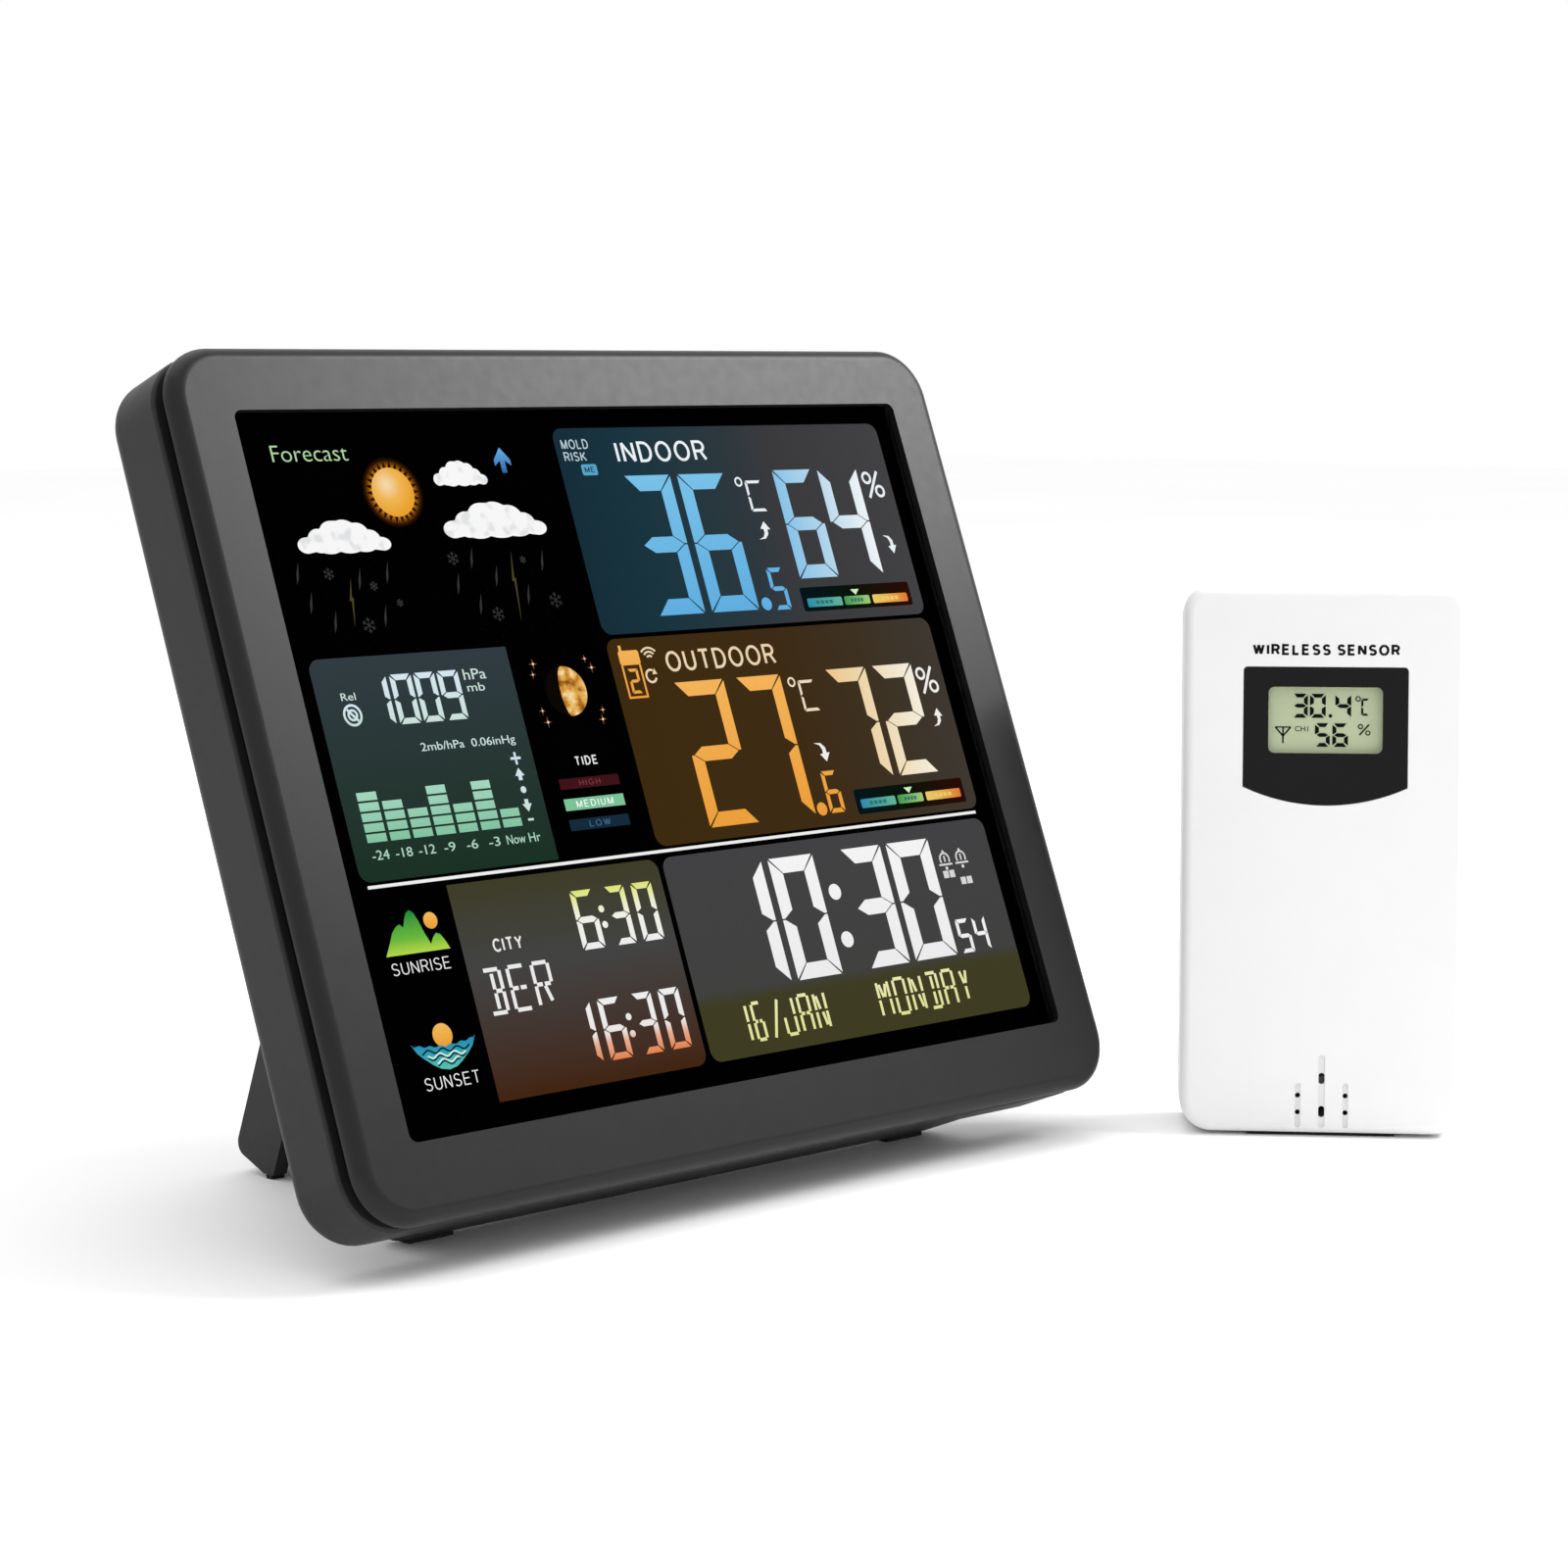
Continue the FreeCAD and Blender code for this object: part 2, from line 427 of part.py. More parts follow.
def make_rear_cover():
    outside = back_outside()
    inside = console_outline(WALL, SHELL_FRONT - 1, SHELL_BACK - WALL)
    inside = inside.fuse(hump_outline(WALL, SHELL_FRONT - 1, HUMP_BACK - WALL))
    bosses = [rod("y", (x, POST_BACK, z), BOSS_R, SHELL_BACK - POST_BACK) for x, z in CASE_SCREWS]
    keep = recess_walls().fuse([bay_walls()] + bosses)
    keep = keep.fuse([key_board_post(z) for z in KEY_BOARD_SCREW_Z])
    keep = keep.fuse([side_board_post(z) for z in SIDE_BOARD_SCREW_Z])
    body = outside.cut(inside).fuse(keep.common(outside))
    body = body.cut(stand_recess())
    body = body.cut(box(-BAY_HALF_W, BAY_HALF_W, BAY_FLOOR, HUMP_BACK, BAY_BOTTOM, BAY_TOP))
    body = body.cut(door_plate(DOOR_PLAY)).cut(door_runner(DOOR_PLAY))
    rod_half_l = ROD_HALF_L + 0.1
    body = body.cut(rod("x", (-rod_half_l, HINGE_Y, HINGE_Z), ROD_R + SCREW_GAP, 2 * rod_half_l))
    holes = []
    for x, z in CASE_SCREWS:
        holes.append(rod("y", (x, 0, z), SCREW_R + SCREW_GAP, SHELL_BACK))
        holes.append(rod("y", (x, CASE_SEAT, z), SCREW_HEAD_R + 0.2, SHELL_BACK))
    for z in KEY_Z:
        half_w, half_h = KEY_W / 2 + KEY_PLAY, KEY_H / 2 + KEY_PLAY
        holes.append(rounded(KEY_X - half_w, KEY_X + half_w, z - half_h, z + half_h, 1.6 + KEY_PLAY,
                             HUMP_BACK - 3, HUMP_BACK + 1))
    for z in KEY_BOARD_SCREW_Z:
        holes.append(rod("y", (KEY_X, KEY_BOARD_BACK - 1, z), SMALL_SCREW_R + SCREW_GAP, 6))
    for z in SIDE_BOARD_SCREW_Z:
        holes.append(rod("y", (LEFT_X, SIDE_BOARD_BACK - 1, z), SMALL_SCREW_R + SCREW_GAP, 6))
    holes.append(rod("y", (LEFT_X, HUMP_BACK - 3, INLET_Z), INLET_NECK_R + 0.1, 5))
    for i in range(5):
        z = PROBE_Z + (i - 2) * 3.0
        holes.append(rounded(LEFT_X - 5, LEFT_X + 5, z - 0.6, z + 0.6, 0.55, HUMP_BACK - 3, HUMP_BACK + 1))
    for i in range(6):
        a = math.radians(60 * i)
        holes.append(rod("y", (LEFT_X + 3 * math.cos(a), HUMP_BACK - 3, BUZZER_Z + 3 * math.sin(a)), 0.6, 5))
    holes.append(rod("y", (LEFT_X, HUMP_BACK - 3, BUZZER_Z), 0.6, 5))
    for x in (-KEYHOLE_X, KEYHOLE_X):
        holes.append(keyhole(x, KEYHOLE_Z, KEYHOLE_R, KEYHOLE_SLOT, KEYHOLE_RISE, HUMP_BACK - 3,
                             HUMP_BACK + 1))
    body = body.cut(holes)
    console("rear_cover", body.removeSplitter())


def key_board_post(z):
    return rod("y", (KEY_X, KEY_BOARD_BACK, z), 2.0, HUMP_BACK - KEY_BOARD_BACK)


def side_board_post(z):
    return rod("y", (LEFT_X, SIDE_BOARD_BACK, z), 2.0, HUMP_BACK - SIDE_BOARD_BACK)


def make_keys():
    z0, z1 = KEY_BOARD_BOTTOM, KEY_BOARD_TOP
    board = box(KEY_X - 5.2, KEY_X + 5.2, KEY_BOARD_FRONT, KEY_BOARD_BACK, z0, z1)
    for z in KEY_BOARD_SCREW_Z:
        board = board.cut(rod("y", (KEY_X, 0, z), SMALL_SCREW_R + SCREW_GAP, 40))
    console("key_board", board)
    switches = []
    for name, z in zip(KEY_NAMES, KEY_Z):
        body = box(KEY_X - 3, KEY_X + 3, KEY_BOARD_BACK, SWITCH_BACK, z - 3, z + 3)
        switches.append(body.fuse(rod("y", (KEY_X, SWITCH_BACK - 0.5, z), PLUNGER_R,
                                      PLUNGER_BACK - SWITCH_BACK + 0.5)).removeSplitter())
        cap = rounded(KEY_X - KEY_W / 2, KEY_X + KEY_W / 2, z - KEY_H / 2, z + KEY_H / 2, 1.6,
                      KEY_FLANGE_FRONT, HUMP_BACK + KEY_PROUD)
        cap = fillet_plane(cap, HUMP_BACK + KEY_PROUD, 0.6)
        flange = rounded(KEY_X - KEY_W / 2 - 1, KEY_X + KEY_W / 2 + 1, z - KEY_H / 2 - 1, z + KEY_H / 2 + 1,
                         2.0, KEY_FLANGE_FRONT, KEY_FLANGE_BACK)
        stem = rod("y", (KEY_X, PLUNGER_BACK + KEY_TRAVEL + 0.05, z), 1.4, 3)
        console(name, cap.fuse([flange, stem]).removeSplitter())
    console("key_switches", group(switches))


def make_side_column():
    z0, z1 = SIDE_BOARD_BOTTOM, SIDE_BOARD_TOP
    board = box(LEFT_X - 5.2, LEFT_X + 5.2, SIDE_BOARD_FRONT, SIDE_BOARD_BACK, z0, z1)
    for z in SIDE_BOARD_SCREW_Z:
        board = board.cut(rod("y", (LEFT_X, 0, z), SMALL_SCREW_R + SCREW_GAP, 40))
    console("side_board", board)
    jack = box(LEFT_X - 4.5, LEFT_X + 4.5, SIDE_BOARD_BACK, HUMP_BACK - WALL - 0.1, INLET_Z - 4.5,
               INLET_Z + 4.5)
    jack = jack.fuse(rod("y", (LEFT_X, 27, INLET_Z), INLET_NECK_R, HUMP_BACK - 27.2))
    bore = rod("y", (LEFT_X, HUMP_BACK - 9, INLET_Z), INLET_BORE_R, 20)
    pin = rod("y", (LEFT_X, HUMP_BACK - 9.5, INLET_Z), INLET_PIN_R, 8.0)
    console("power_inlet", jack.cut(bore).fuse(pin).removeSplitter())
    console("room_probe", box(LEFT_X - 3, LEFT_X + 3, SIDE_BOARD_BACK, SIDE_BOARD_BACK + 4, PROBE_Z - 3,
                              PROBE_Z + 3))
    console("buzzer", rod("y", (LEFT_X, HUMP_BACK - WALL - 4.2, BUZZER_Z), BUZZER_R, 4.2))


def lying_cell(z, direction):
    """An AAA cell along x whose button end touches the contact plate on the named side."""
    nub_tip = direction * (BAY_HALF_W - CONTACT_T)
    start = nub_tip - direction * (NUB_L + CELL_L)
    low, high = sorted((start, start + direction * CELL_L))
    body = rod("x", (low, CELL_Y, z), CELL_R, high - low)
    body = body.makeFillet(0.5, [e for e in body.Edges if e.Curve.TypeId == "Part::GeomCircle"])
    nub_low = min(nub_tip, nub_tip - direction * (NUB_L + 0.2))
    return body.fuse(rod("x", (nub_low, CELL_Y, z), NUB_R, NUB_L + 0.2)).removeSplitter(), start


def make_batteries():
    springs, plates = [], []
    for i in range(3):
        z = (BAY_BOTTOM + BAY_TOP) / 2 + (i - 1) * CELL_PITCH
        direction = 1 if i % 2 == 0 else -1
        cell, back_end = lying_cell(z, direction)
        console("battery_%d" % (i + 1), cell)
        for side in (-1, 1):
            low, high = sorted((side * BAY_HALF_W, side * (BAY_HALF_W - CONTACT_T)))
            plates.append(box(low, high, CELL_Y - 4.5, CELL_Y + 4.5, z - 4.5, z + 4.5))
        seat = -direction * (BAY_HALF_W - CONTACT_T)
        length = abs(back_end - seat) - 2 * SPRING_WIRE_R - 0.04
        start = Vector(seat + direction * (SPRING_WIRE_R + 0.02), CELL_Y, z)
        springs.append(coil(start, Vector(direction, 0, 0), SPRING_R, SPRING_WIRE_R, SPRING_TURNS,
                            length / SPRING_TURNS))
    console("battery_contacts", group(plates))
    console("battery_springs", group(springs))


def make_battery_door():
    plate = door_plate(0).common(hump_outside())
    door = plate.fuse(door_runner(0))
    for i in range(5):
        z = DOOR_BOTTOM + 4 + 1.8 * i
        door = door.cut(box(-9, 9, HUMP_BACK - 0.5, HUMP_BACK + 1, z - 0.4, z + 0.4))
    console("battery_door", door.removeSplitter())


def make_stand():
    bottom, top = STAND_BOTTOM, HINGE_Z
    front = HUMP_BACK - STAND_T
    body = box(-STAND_HALF_W, STAND_HALF_W, front, HUMP_BACK, bottom, top)
    side_profile = [(FLANGE_FRONT, bottom), (HUMP_BACK, bottom), (HUMP_BACK, top), (HINGE_Y - BARREL_R, top),
                    (HINGE_Y - BARREL_R, top - 5), (FLANGE_FRONT, top - 20)]
    for flange in both_sides(profile_x(side_profile, STAND_HALF_W - FLANGE_T, STAND_HALF_W)):
        body = body.fuse(flange)
    body = body.removeSplitter()
    end_edges = [e for e in body.Edges
                 if abs(e.BoundBox.YMin - HUMP_BACK) < 1e-4 and e.BoundBox.ZMax < bottom + 1e-4]
    body = body.makeFillet(2.4, end_edges)
    body = body.fuse(rod("x", (-STAND_HALF_W, HINGE_Y, HINGE_Z), BARREL_R, 2 * STAND_HALF_W))
    body = body.cut(rod("x", (-60, HINGE_Y, HINGE_Z), ROD_R + HINGE_PLAY, 120))
    for i in range(5):
        z = bottom + 5 + 2.2 * i
        body = body.cut(box(-14, 14, HUMP_BACK - 0.5, HUMP_BACK + 1, z - 0.5, z + 0.5))
    body = moved(body.removeSplitter(), stand_open)
    console("stand", above_floor(body, PAD_T).removeSplitter())
    console("stand_rod", rod("x", (-ROD_HALF_L, HINGE_Y, HINGE_Z), ROD_R, 2 * ROD_HALF_L))


def pad_under(shape_name, x0, x1, inset):
    """Rubber pads that fill the gap between the floor and a flat on the underside of a placed node."""
    node = nodes[shape_name]
    flat = [f for f in node.Faces if abs(f.BoundBox.ZMax - PAD_T) < 1e-4 and f.BoundBox.ZMin > PAD_T - 1e-4]
    y0, y1 = min(f.BoundBox.YMin for f in flat), max(f.BoundBox.YMax for f in flat)
    return group(both_sides(box(x0, x1, y0 + inset, y1 - inset, 0, PAD_T)))


def make_pads():
    nodes["feet"] = pad_under("rear_cover", STAND_HALF_W + 2.5, HUMP_HALF_W - HUMP_CORNER_R - 0.5, 0.15)
    nodes["stand_pads"] = pad_under("stand", STAND_HALF_W - FLANGE_T + 0.1, STAND_HALF_W - 0.1, 0.6)


def make_console_screws():
    console("case_screws", group(
        screw(x, z, CASE_TIP, CASE_SEAT, SCREW_R, SCREW_HEAD_R, SCREW_HEAD_T) for x, z in CASE_SCREWS))
    small = (SMALL_SCREW_R, SMALL_HEAD_R, SMALL_HEAD_T)
    console("carrier_screws", group(screw(x, z, CARRIER_TIP, EAR_BACK, *small) for x, z in CARRIER_SCREWS))
    console("board_screws", group(screw(x, z, BOARD_TIP, BOARD_BACK, *small) for x, z in BOARD_SCREWS))
    inner = [reversed_screw(KEY_X, z, KEY_BOARD_FRONT) for z in KEY_BOARD_SCREW_Z]
    inner += [reversed_screw(LEFT_X, z, SIDE_BOARD_FRONT) for z in SIDE_BOARD_SCREW_Z]
    console("side_screws", group(inner))


def reversed_screw(x, z, seat):
    """A small screw driven from the front, its head in front of the seat."""
    shape = screw(x, -z, -seat - 4.4, -seat, SMALL_SCREW_R, SMALL_HEAD_R, SMALL_HEAD_T)
    turned = shape.copy()
    turned.rotate(Vector(x, 0, 0), Vector(1, 0, 0), 180)
    return turned


# ---- outdoor sensor ----
def sensor_outline(inset, y0, y1):
    half_w = SENSOR_W / 2 - inset
    return rounded(-half_w, half_w, FOOT_T + inset, SENSOR_TOP - inset, SENSOR_R - inset, y0, y1,
                   SENSOR_LOW_R - inset)


def sensor_cavity(inset, y0, y1):
    return above_floor(sensor_outline(inset, y0, y1), FOOT_T + inset, sensor_place)


def bezel_shape(grow, y0, y1):
    half_w = BEZEL_W / 2 + grow
    side_bottom, top = BEZEL_SIDE_BOTTOM - grow, BEZEL_TOP + grow
    low = Vector(0, y0, side_bottom - BEZEL_SAG)
    left, right = Vector(-half_w, y0, side_bottom), Vector(half_w, y0, side_bottom)
    edges = [
        Part.Arc(left, low, right).toShape(),
        Part.makeLine(right, Vector(half_w, y0, top)),
        Part.makeLine(Vector(half_w, y0, top), Vector(-half_w, y0, top)),
        Part.makeLine(Vector(-half_w, y0, top), left),
    ]
    plate = Part.Face(Part.Wire(edges)).extrude(Vector(0, y1 - y0, 0))
    top_corners = [e for e in plate.Edges if e.Length < y1 - y0 + 1e-4 and e.BoundBox.ZMin > top - 1e-4
                   and e.BoundBox.YMax - e.BoundBox.YMin > 1e-3]
    return plate.makeFillet(BEZEL_R, top_corners)


def pane_shape(grow, y0, y1):
    half_w, half_h = PANE_W / 2 + grow, PANE_H / 2 + grow
    return rounded(-half_w, half_w, PANE_Z - half_h, PANE_Z + half_h, PANE_R, y0, y1)


def slot_shape(x, half_w, z0, z1, y0, y1):
    return rounded(x - half_w, x + half_w, z0, z1, half_w - 0.02, y0, y1)


def make_sensor_front():
    wall = SENSOR_WALL
    body = fillet_plane(sensor_outline(0, 0, SENSOR_SPLIT), 0, SENSOR_EDGE_R)
    body = body.cut(sensor_cavity(wall + SENSOR_TONGUE_T, wall, SENSOR_SPLIT + 1))
    tongue = sensor_cavity(wall + SENSOR_TONGUE_PLAY, SENSOR_SPLIT - 1, SENSOR_SPLIT + 2.4)
    body = body.fuse(tongue.cut(sensor_cavity(wall + SENSOR_TONGUE_T, 0, 20)))
    body = body.cut(bezel_shape(0.1, -1, BEZEL_BACK)).cut(pane_shape(0.3, -1, wall + 1))
    for x, z in SENSOR_SCREWS:
        body = body.fuse(rod("y", (x, wall - 0.5, z), 2.4, SENSOR_POST_BACK - wall + 0.5))
        body = body.cut(rod("y", (x, SENSOR_TIP - 0.5, z), SMALL_SCREW_R + SCREW_GAP, 20))
    body = body.cut(slot_shape(0, 0.62, 1.9, 15.7, -1, VENT_GROOVE))
    for z0, z1 in ((10.2, 12.3), (3.9, 6.0)):
        body = body.cut(slot_shape(0, VENT_R + 0.1, z0, z1, -1, wall + 1))
    for x in (-VENT_X, VENT_X):
        body = body.cut(slot_shape(x, 0.52, 1.9, 10.4, -1, VENT_GROOVE))
        for z in (8.0, 4.8):
            body = body.cut(rod("y", (x, -1, z), VENT_R, wall + 3))
    sensor("sensor_front", above_floor(body, FOOT_T, sensor_place).removeSplitter())


def make_sensor_display():
    sensor("sensor_panel", bezel_shape(0, 0.15, BEZEL_BACK).cut(pane_shape(0.05, -1, 3)))
    sensor("sensor_pane", pane_shape(0, 0.3, BEZEL_BACK))
    half_w, half_h = PANE_W / 2 + 1.6, PANE_H / 2 + 1.8
    sensor("sensor_lcd", box(-half_w, half_w, SENSOR_WALL + 0.1, SENSOR_LCD_BACK, PANE_Z - half_h,
                             PANE_Z + half_h))
    strips = [box(-half_w + 1, half_w - 1, SENSOR_LCD_BACK, SENSOR_BOARD_FRONT, z - 0.8, z + 0.8)
              for z in (PANE_Z - half_h + 1, PANE_Z + half_h - 1)]
    sensor("sensor_connector_strips", group(strips))


def make_sensor_board():
    board = box(-18.6, 18.6, SENSOR_BOARD_FRONT, SENSOR_BOARD_BACK, 11, 100)
    board = board.fuse(box(-5, 5, SENSOR_BOARD_FRONT, SENSOR_BOARD_BACK, 5.6, 12))
    sensor("sensor_board", board.removeSplitter())
    sensor("sensor_chip", box(-6, 6, SENSOR_BOARD_FRONT - 1.4, SENSOR_BOARD_FRONT, 44, 56))
    sensor("sensor_probe", box(-2.5, 2.5, SENSOR_BOARD_FRONT - 2.2, SENSOR_BOARD_FRONT, 6.4, 11.4))
    antenna = coil(Vector(-14, SENSOR_BOARD_FRONT - 2.2, 28), Vector(0, 0, 1), 1.8, 0.3, 10, 2.0)
    sensor("sensor_antenna", antenna)


def make_sensor_rear():
    wall = SENSOR_WALL
    front = SENSOR_SPLIT + SENSOR_GAP
    body = fillet_plane(sensor_outline(0, front, SENSOR_BACK), SENSOR_BACK, SENSOR_EDGE_R)
    inside = sensor_cavity(wall, front - 1, SENSOR_BACK - wall)
    bay_half_w = SENSOR_CELL_X + CELL_R + 0.3
    walls = box(-bay_half_w - wall, bay_half_w + wall, SENSOR_BAY_FLOOR - 1.5, SENSOR_BACK,
                SENSOR_DOOR_BOTTOM + 1, SENSOR_BAY_TOP + wall)
    ledge = box(-SENSOR_DOOR_HALF_W - wall, SENSOR_DOOR_HALF_W + wall, SENSOR_DOOR_FRONT - wall - 0.1,
                SENSOR_BACK, SENSOR_DOOR_BOTTOM - wall, SENSOR_DOOR_TOP + wall)
    bosses = [rod("y", (x, SENSOR_POST_BACK, z), 3.2, SENSOR_BACK - SENSOR_POST_BACK)
              for x, z in SENSOR_SCREWS]
    body = body.cut(inside).fuse([walls, ledge] + bosses)
    body = body.common(fillet_plane(sensor_outline(0, 0, SENSOR_BACK), SENSOR_BACK, SENSOR_EDGE_R))
    body = body.cut(box(-bay_half_w, bay_half_w, SENSOR_BAY_FLOOR, 40, SENSOR_DOOR_BOTTOM + 2.6,
                        SENSOR_BAY_TOP))
    play = 0.2
    body = body.cut(box(-SENSOR_DOOR_HALF_W - play, SENSOR_DOOR_HALF_W + play, SENSOR_DOOR_FRONT - 0.1, 40,
                        SENSOR_DOOR_BOTTOM - play, SENSOR_DOOR_TOP + play))
    body = body.cut(box(SWITCH_X - 2, SWITCH_X + 2 + SWITCH_TRAVEL, 0, SENSOR_BAY_FLOOR + 1,
                        CONTROL_Z - 1.4, CONTROL_Z + 1.4))
    body = body.cut(rod("y", (BUTTON_X, 0, CONTROL_Z), 1.7, SENSOR_BAY_FLOOR + 1))
    body = body.cut(keyhole(0, SENSOR_KEYHOLE_Z, SENSOR_KEYHOLE_R, SENSOR_KEYHOLE_SLOT, SENSOR_KEYHOLE_RISE,
                            SENSOR_BACK - wall - 1, SENSOR_BACK + 1))
    for x, z in SENSOR_SCREWS:
        body = body.cut(rod("y", (x, 0, z), SMALL_SCREW_R + SCREW_GAP, 40))
        body = body.cut(rod("y", (x, SENSOR_SEAT, z), SMALL_HEAD_R + 0.2, 40))
    sensor("sensor_rear", above_floor(body, FOOT_T, sensor_place).removeSplitter())


def make_sensor_door():
    door = box(-SENSOR_DOOR_HALF_W, SENSOR_DOOR_HALF_W, SENSOR_DOOR_FRONT, SENSOR_BACK, SENSOR_DOOR_BOTTOM,
               SENSOR_DOOR_TOP)
    for i in range(4):
        z = SENSOR_DOOR_TOP - 5 - 1.8 * i
        door = door.cut(box(-7, 7, SENSOR_BACK - 0.5, SENSOR_BACK + 1, z - 0.4, z + 0.4))
    sensor("sensor_door", door)


def make_sensor_controls():
    knob = box(SWITCH_X - 1, SWITCH_X + 1, SENSOR_BOARD_BACK + 0.1, SENSOR_BAY_FLOOR + 1.6, CONTROL_Z - 1.2,
               CONTROL_Z + 1.2)
    sensor("sensor_channel_slider", knob)
    button = rod("y", (BUTTON_X, SENSOR_BOARD_BACK + BUTTON_TRAVEL + 0.05, CONTROL_Z), 1.6,
                 SENSOR_BAY_FLOOR + 0.9 - SENSOR_BOARD_BACK - BUTTON_TRAVEL)
    sensor("sensor_button", button)


def make_sensor_batteries():
    springs, plates = [], []
    for i, side in enumerate((-1, 1)):
        x = side * SENSOR_CELL_X
        up = side < 0
        low_seat, high_seat = SENSOR_BAY_BOTTOM + CONTACT_T, SENSOR_BAY_TOP - CONTACT_T
        body_low = high_seat - NUB_L - CELL_L if up else low_seat + NUB_L
        cell = rod("z", (x, SENSOR_CELL_Y, body_low), CELL_R, CELL_L)
        cell = cell.makeFillet(0.5, [e for e in cell.Edges if e.Curve.TypeId == "Part::GeomCircle"])
        nub_low = high_seat - NUB_L - 0.2 if up else low_seat
        cell = cell.fuse(rod("z", (x, SENSOR_CELL_Y, nub_low), NUB_R, NUB_L + 0.2)).removeSplitter()
        sensor("sensor_battery_%d" % (i + 1), cell)
        for z0 in (SENSOR_BAY_BOTTOM, SENSOR_BAY_TOP - CONTACT_T):
            plates.append(box(x - 4.5, x + 4.5, SENSOR_CELL_Y - 4.5, SENSOR_CELL_Y + 4.5, z0, z0 + CONTACT_T))
        gap = high_seat - low_seat - NUB_L - CELL_L
        length = gap - 2 * SPRING_WIRE_R - 0.04
        start_z = low_seat if up else high_seat
        direction = 1 if up else -1
        start = Vector(x, SENSOR_CELL_Y, start_z + direction * (SPRING_WIRE_R + 0.02))
        springs.append(coil(start, Vector(0, 0, direction), SPRING_R, SPRING_WIRE_R, SPRING_TURNS,
                            length / SPRING_TURNS))
    sensor("sensor_contacts", group(plates))
    sensor("sensor_springs", group(springs))


def make_sensor_rest():
    small = (SMALL_SCREW_R, SMALL_HEAD_R, SMALL_HEAD_T)
    sensor("sensor_screws", group(screw(x, z, SENSOR_TIP, SENSOR_SEAT, *small) for x, z in SENSOR_SCREWS))
    nodes["sensor_foot"] = moved(box(-14, 14, 2.4, SENSOR_BACK - 1.0, 0, FOOT_T), sensor_spot)


def main():
    make_front_frame()
    make_display()
    make_carrier()
    make_boards()
    make_rear_cover()
    make_keys()
    make_side_column()
    make_batteries()
    make_battery_door()
    make_stand()
    make_pads()
    make_console_screws()
    make_sensor_front()
    make_sensor_display()
    make_sensor_board()
    make_sensor_rear()
    make_sensor_door()
    make_sensor_controls()
    make_sensor_batteries()
    make_sensor_rest()
    whole = FreeCAD.BoundBox()
    for shape in nodes.values():
        whole.add(shape.optimalBoundingBox(False))
    to_origin = Placement(Vector(-whole.Center.x, -whole.Center.y, -whole.ZMin), Rotation())
    print("origin moved by", to_origin.Base, "size", whole.XLength, whole.YLength, whole.ZLength)
    hinge = to_origin.multVec(console_place.multVec(Vector(0, HINGE_Y, HINGE_Z)))
    print("stand hinge at", hinge)
    os.makedirs("parts", exist_ok=True)
    for name, shape in nodes.items():
        moved(shape, to_origin).exportStep("parts/%s.step" % name)


main()
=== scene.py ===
import json
import math

import bmesh
import bpy
from mathutils import Matrix, Vector


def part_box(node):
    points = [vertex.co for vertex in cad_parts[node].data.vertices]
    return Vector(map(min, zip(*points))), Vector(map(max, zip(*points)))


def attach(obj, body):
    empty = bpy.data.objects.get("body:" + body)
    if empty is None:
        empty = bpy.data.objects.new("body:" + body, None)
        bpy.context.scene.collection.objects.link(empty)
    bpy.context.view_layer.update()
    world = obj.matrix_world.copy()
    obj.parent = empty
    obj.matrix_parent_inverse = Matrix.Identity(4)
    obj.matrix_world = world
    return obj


# Home weather station: a leaning colour display console and its white outdoor sensor.
# Lengths are millimetres, turned into the frame's metres by MM where meshes and places are made.
# Screen drawings use the console window's own sheet: x to the right and y down from the window's
# top left corner. Other sheets have y up.

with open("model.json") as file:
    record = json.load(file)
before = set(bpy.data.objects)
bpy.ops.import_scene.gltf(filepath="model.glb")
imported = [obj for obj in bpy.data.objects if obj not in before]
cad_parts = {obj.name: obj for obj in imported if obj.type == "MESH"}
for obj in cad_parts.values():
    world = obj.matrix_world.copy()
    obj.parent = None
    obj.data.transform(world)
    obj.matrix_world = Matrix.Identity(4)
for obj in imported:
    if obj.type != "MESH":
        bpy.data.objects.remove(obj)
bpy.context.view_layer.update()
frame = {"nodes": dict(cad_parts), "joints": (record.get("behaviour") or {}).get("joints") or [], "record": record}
MM = 0.001

# ---- what the frame says about the two housings ----
LEAN = math.radians(21.2)
SENSOR_TURN, SENSOR_LEAN = math.radians(-49.5), math.radians(6.6)
HINGE_DEPTH, HINGE_HEIGHT = 27.9, 88.0          # of the stand's rod, in the console's upright frame
WINDOW_W, WINDOW_H, WINDOW_BOTTOM = 155.5, 124.4, 13.0
LCD_FRONT = 3.4                                 # depth of the LCD's face behind the console's face
BACK = 31.0                                     # depth of the console's back
KEY_X, KEY_Z, KEY_PITCH = -58.8, 13.0, 13.0     # the keys on the back, from the lowest one up
KEY_LABEL_RISE = 4.9                            # from a key's middle up to its label's
INLET_X = 59.0
FOOT_CENTRE = 11.7                              # depth of the middle of the sensor's foot
SENSOR_LCD_FRONT = 1.66                         # depth of the sensor's LCD readings behind its face
# Where the display's drawings start, from the window's top left corner, and how far before its LCD
INK_RIGHT, INK_UP, INK_PROUD = 1.9, 1.0, 0.05


def console_frame():
    """The console's upright frame: origin under its front edge, x right, y back, z up its face."""
    hinge = next(j for j in frame["joints"] if j["name"] == "stand_fold")
    turn = Matrix.Rotation(-LEAN, 4, "X")
    origin = Vector(hinge["pos_m"]) - turn @ (Vector((0, HINGE_DEPTH, HINGE_HEIGHT)) * MM)
    return Matrix.Translation(origin) @ turn


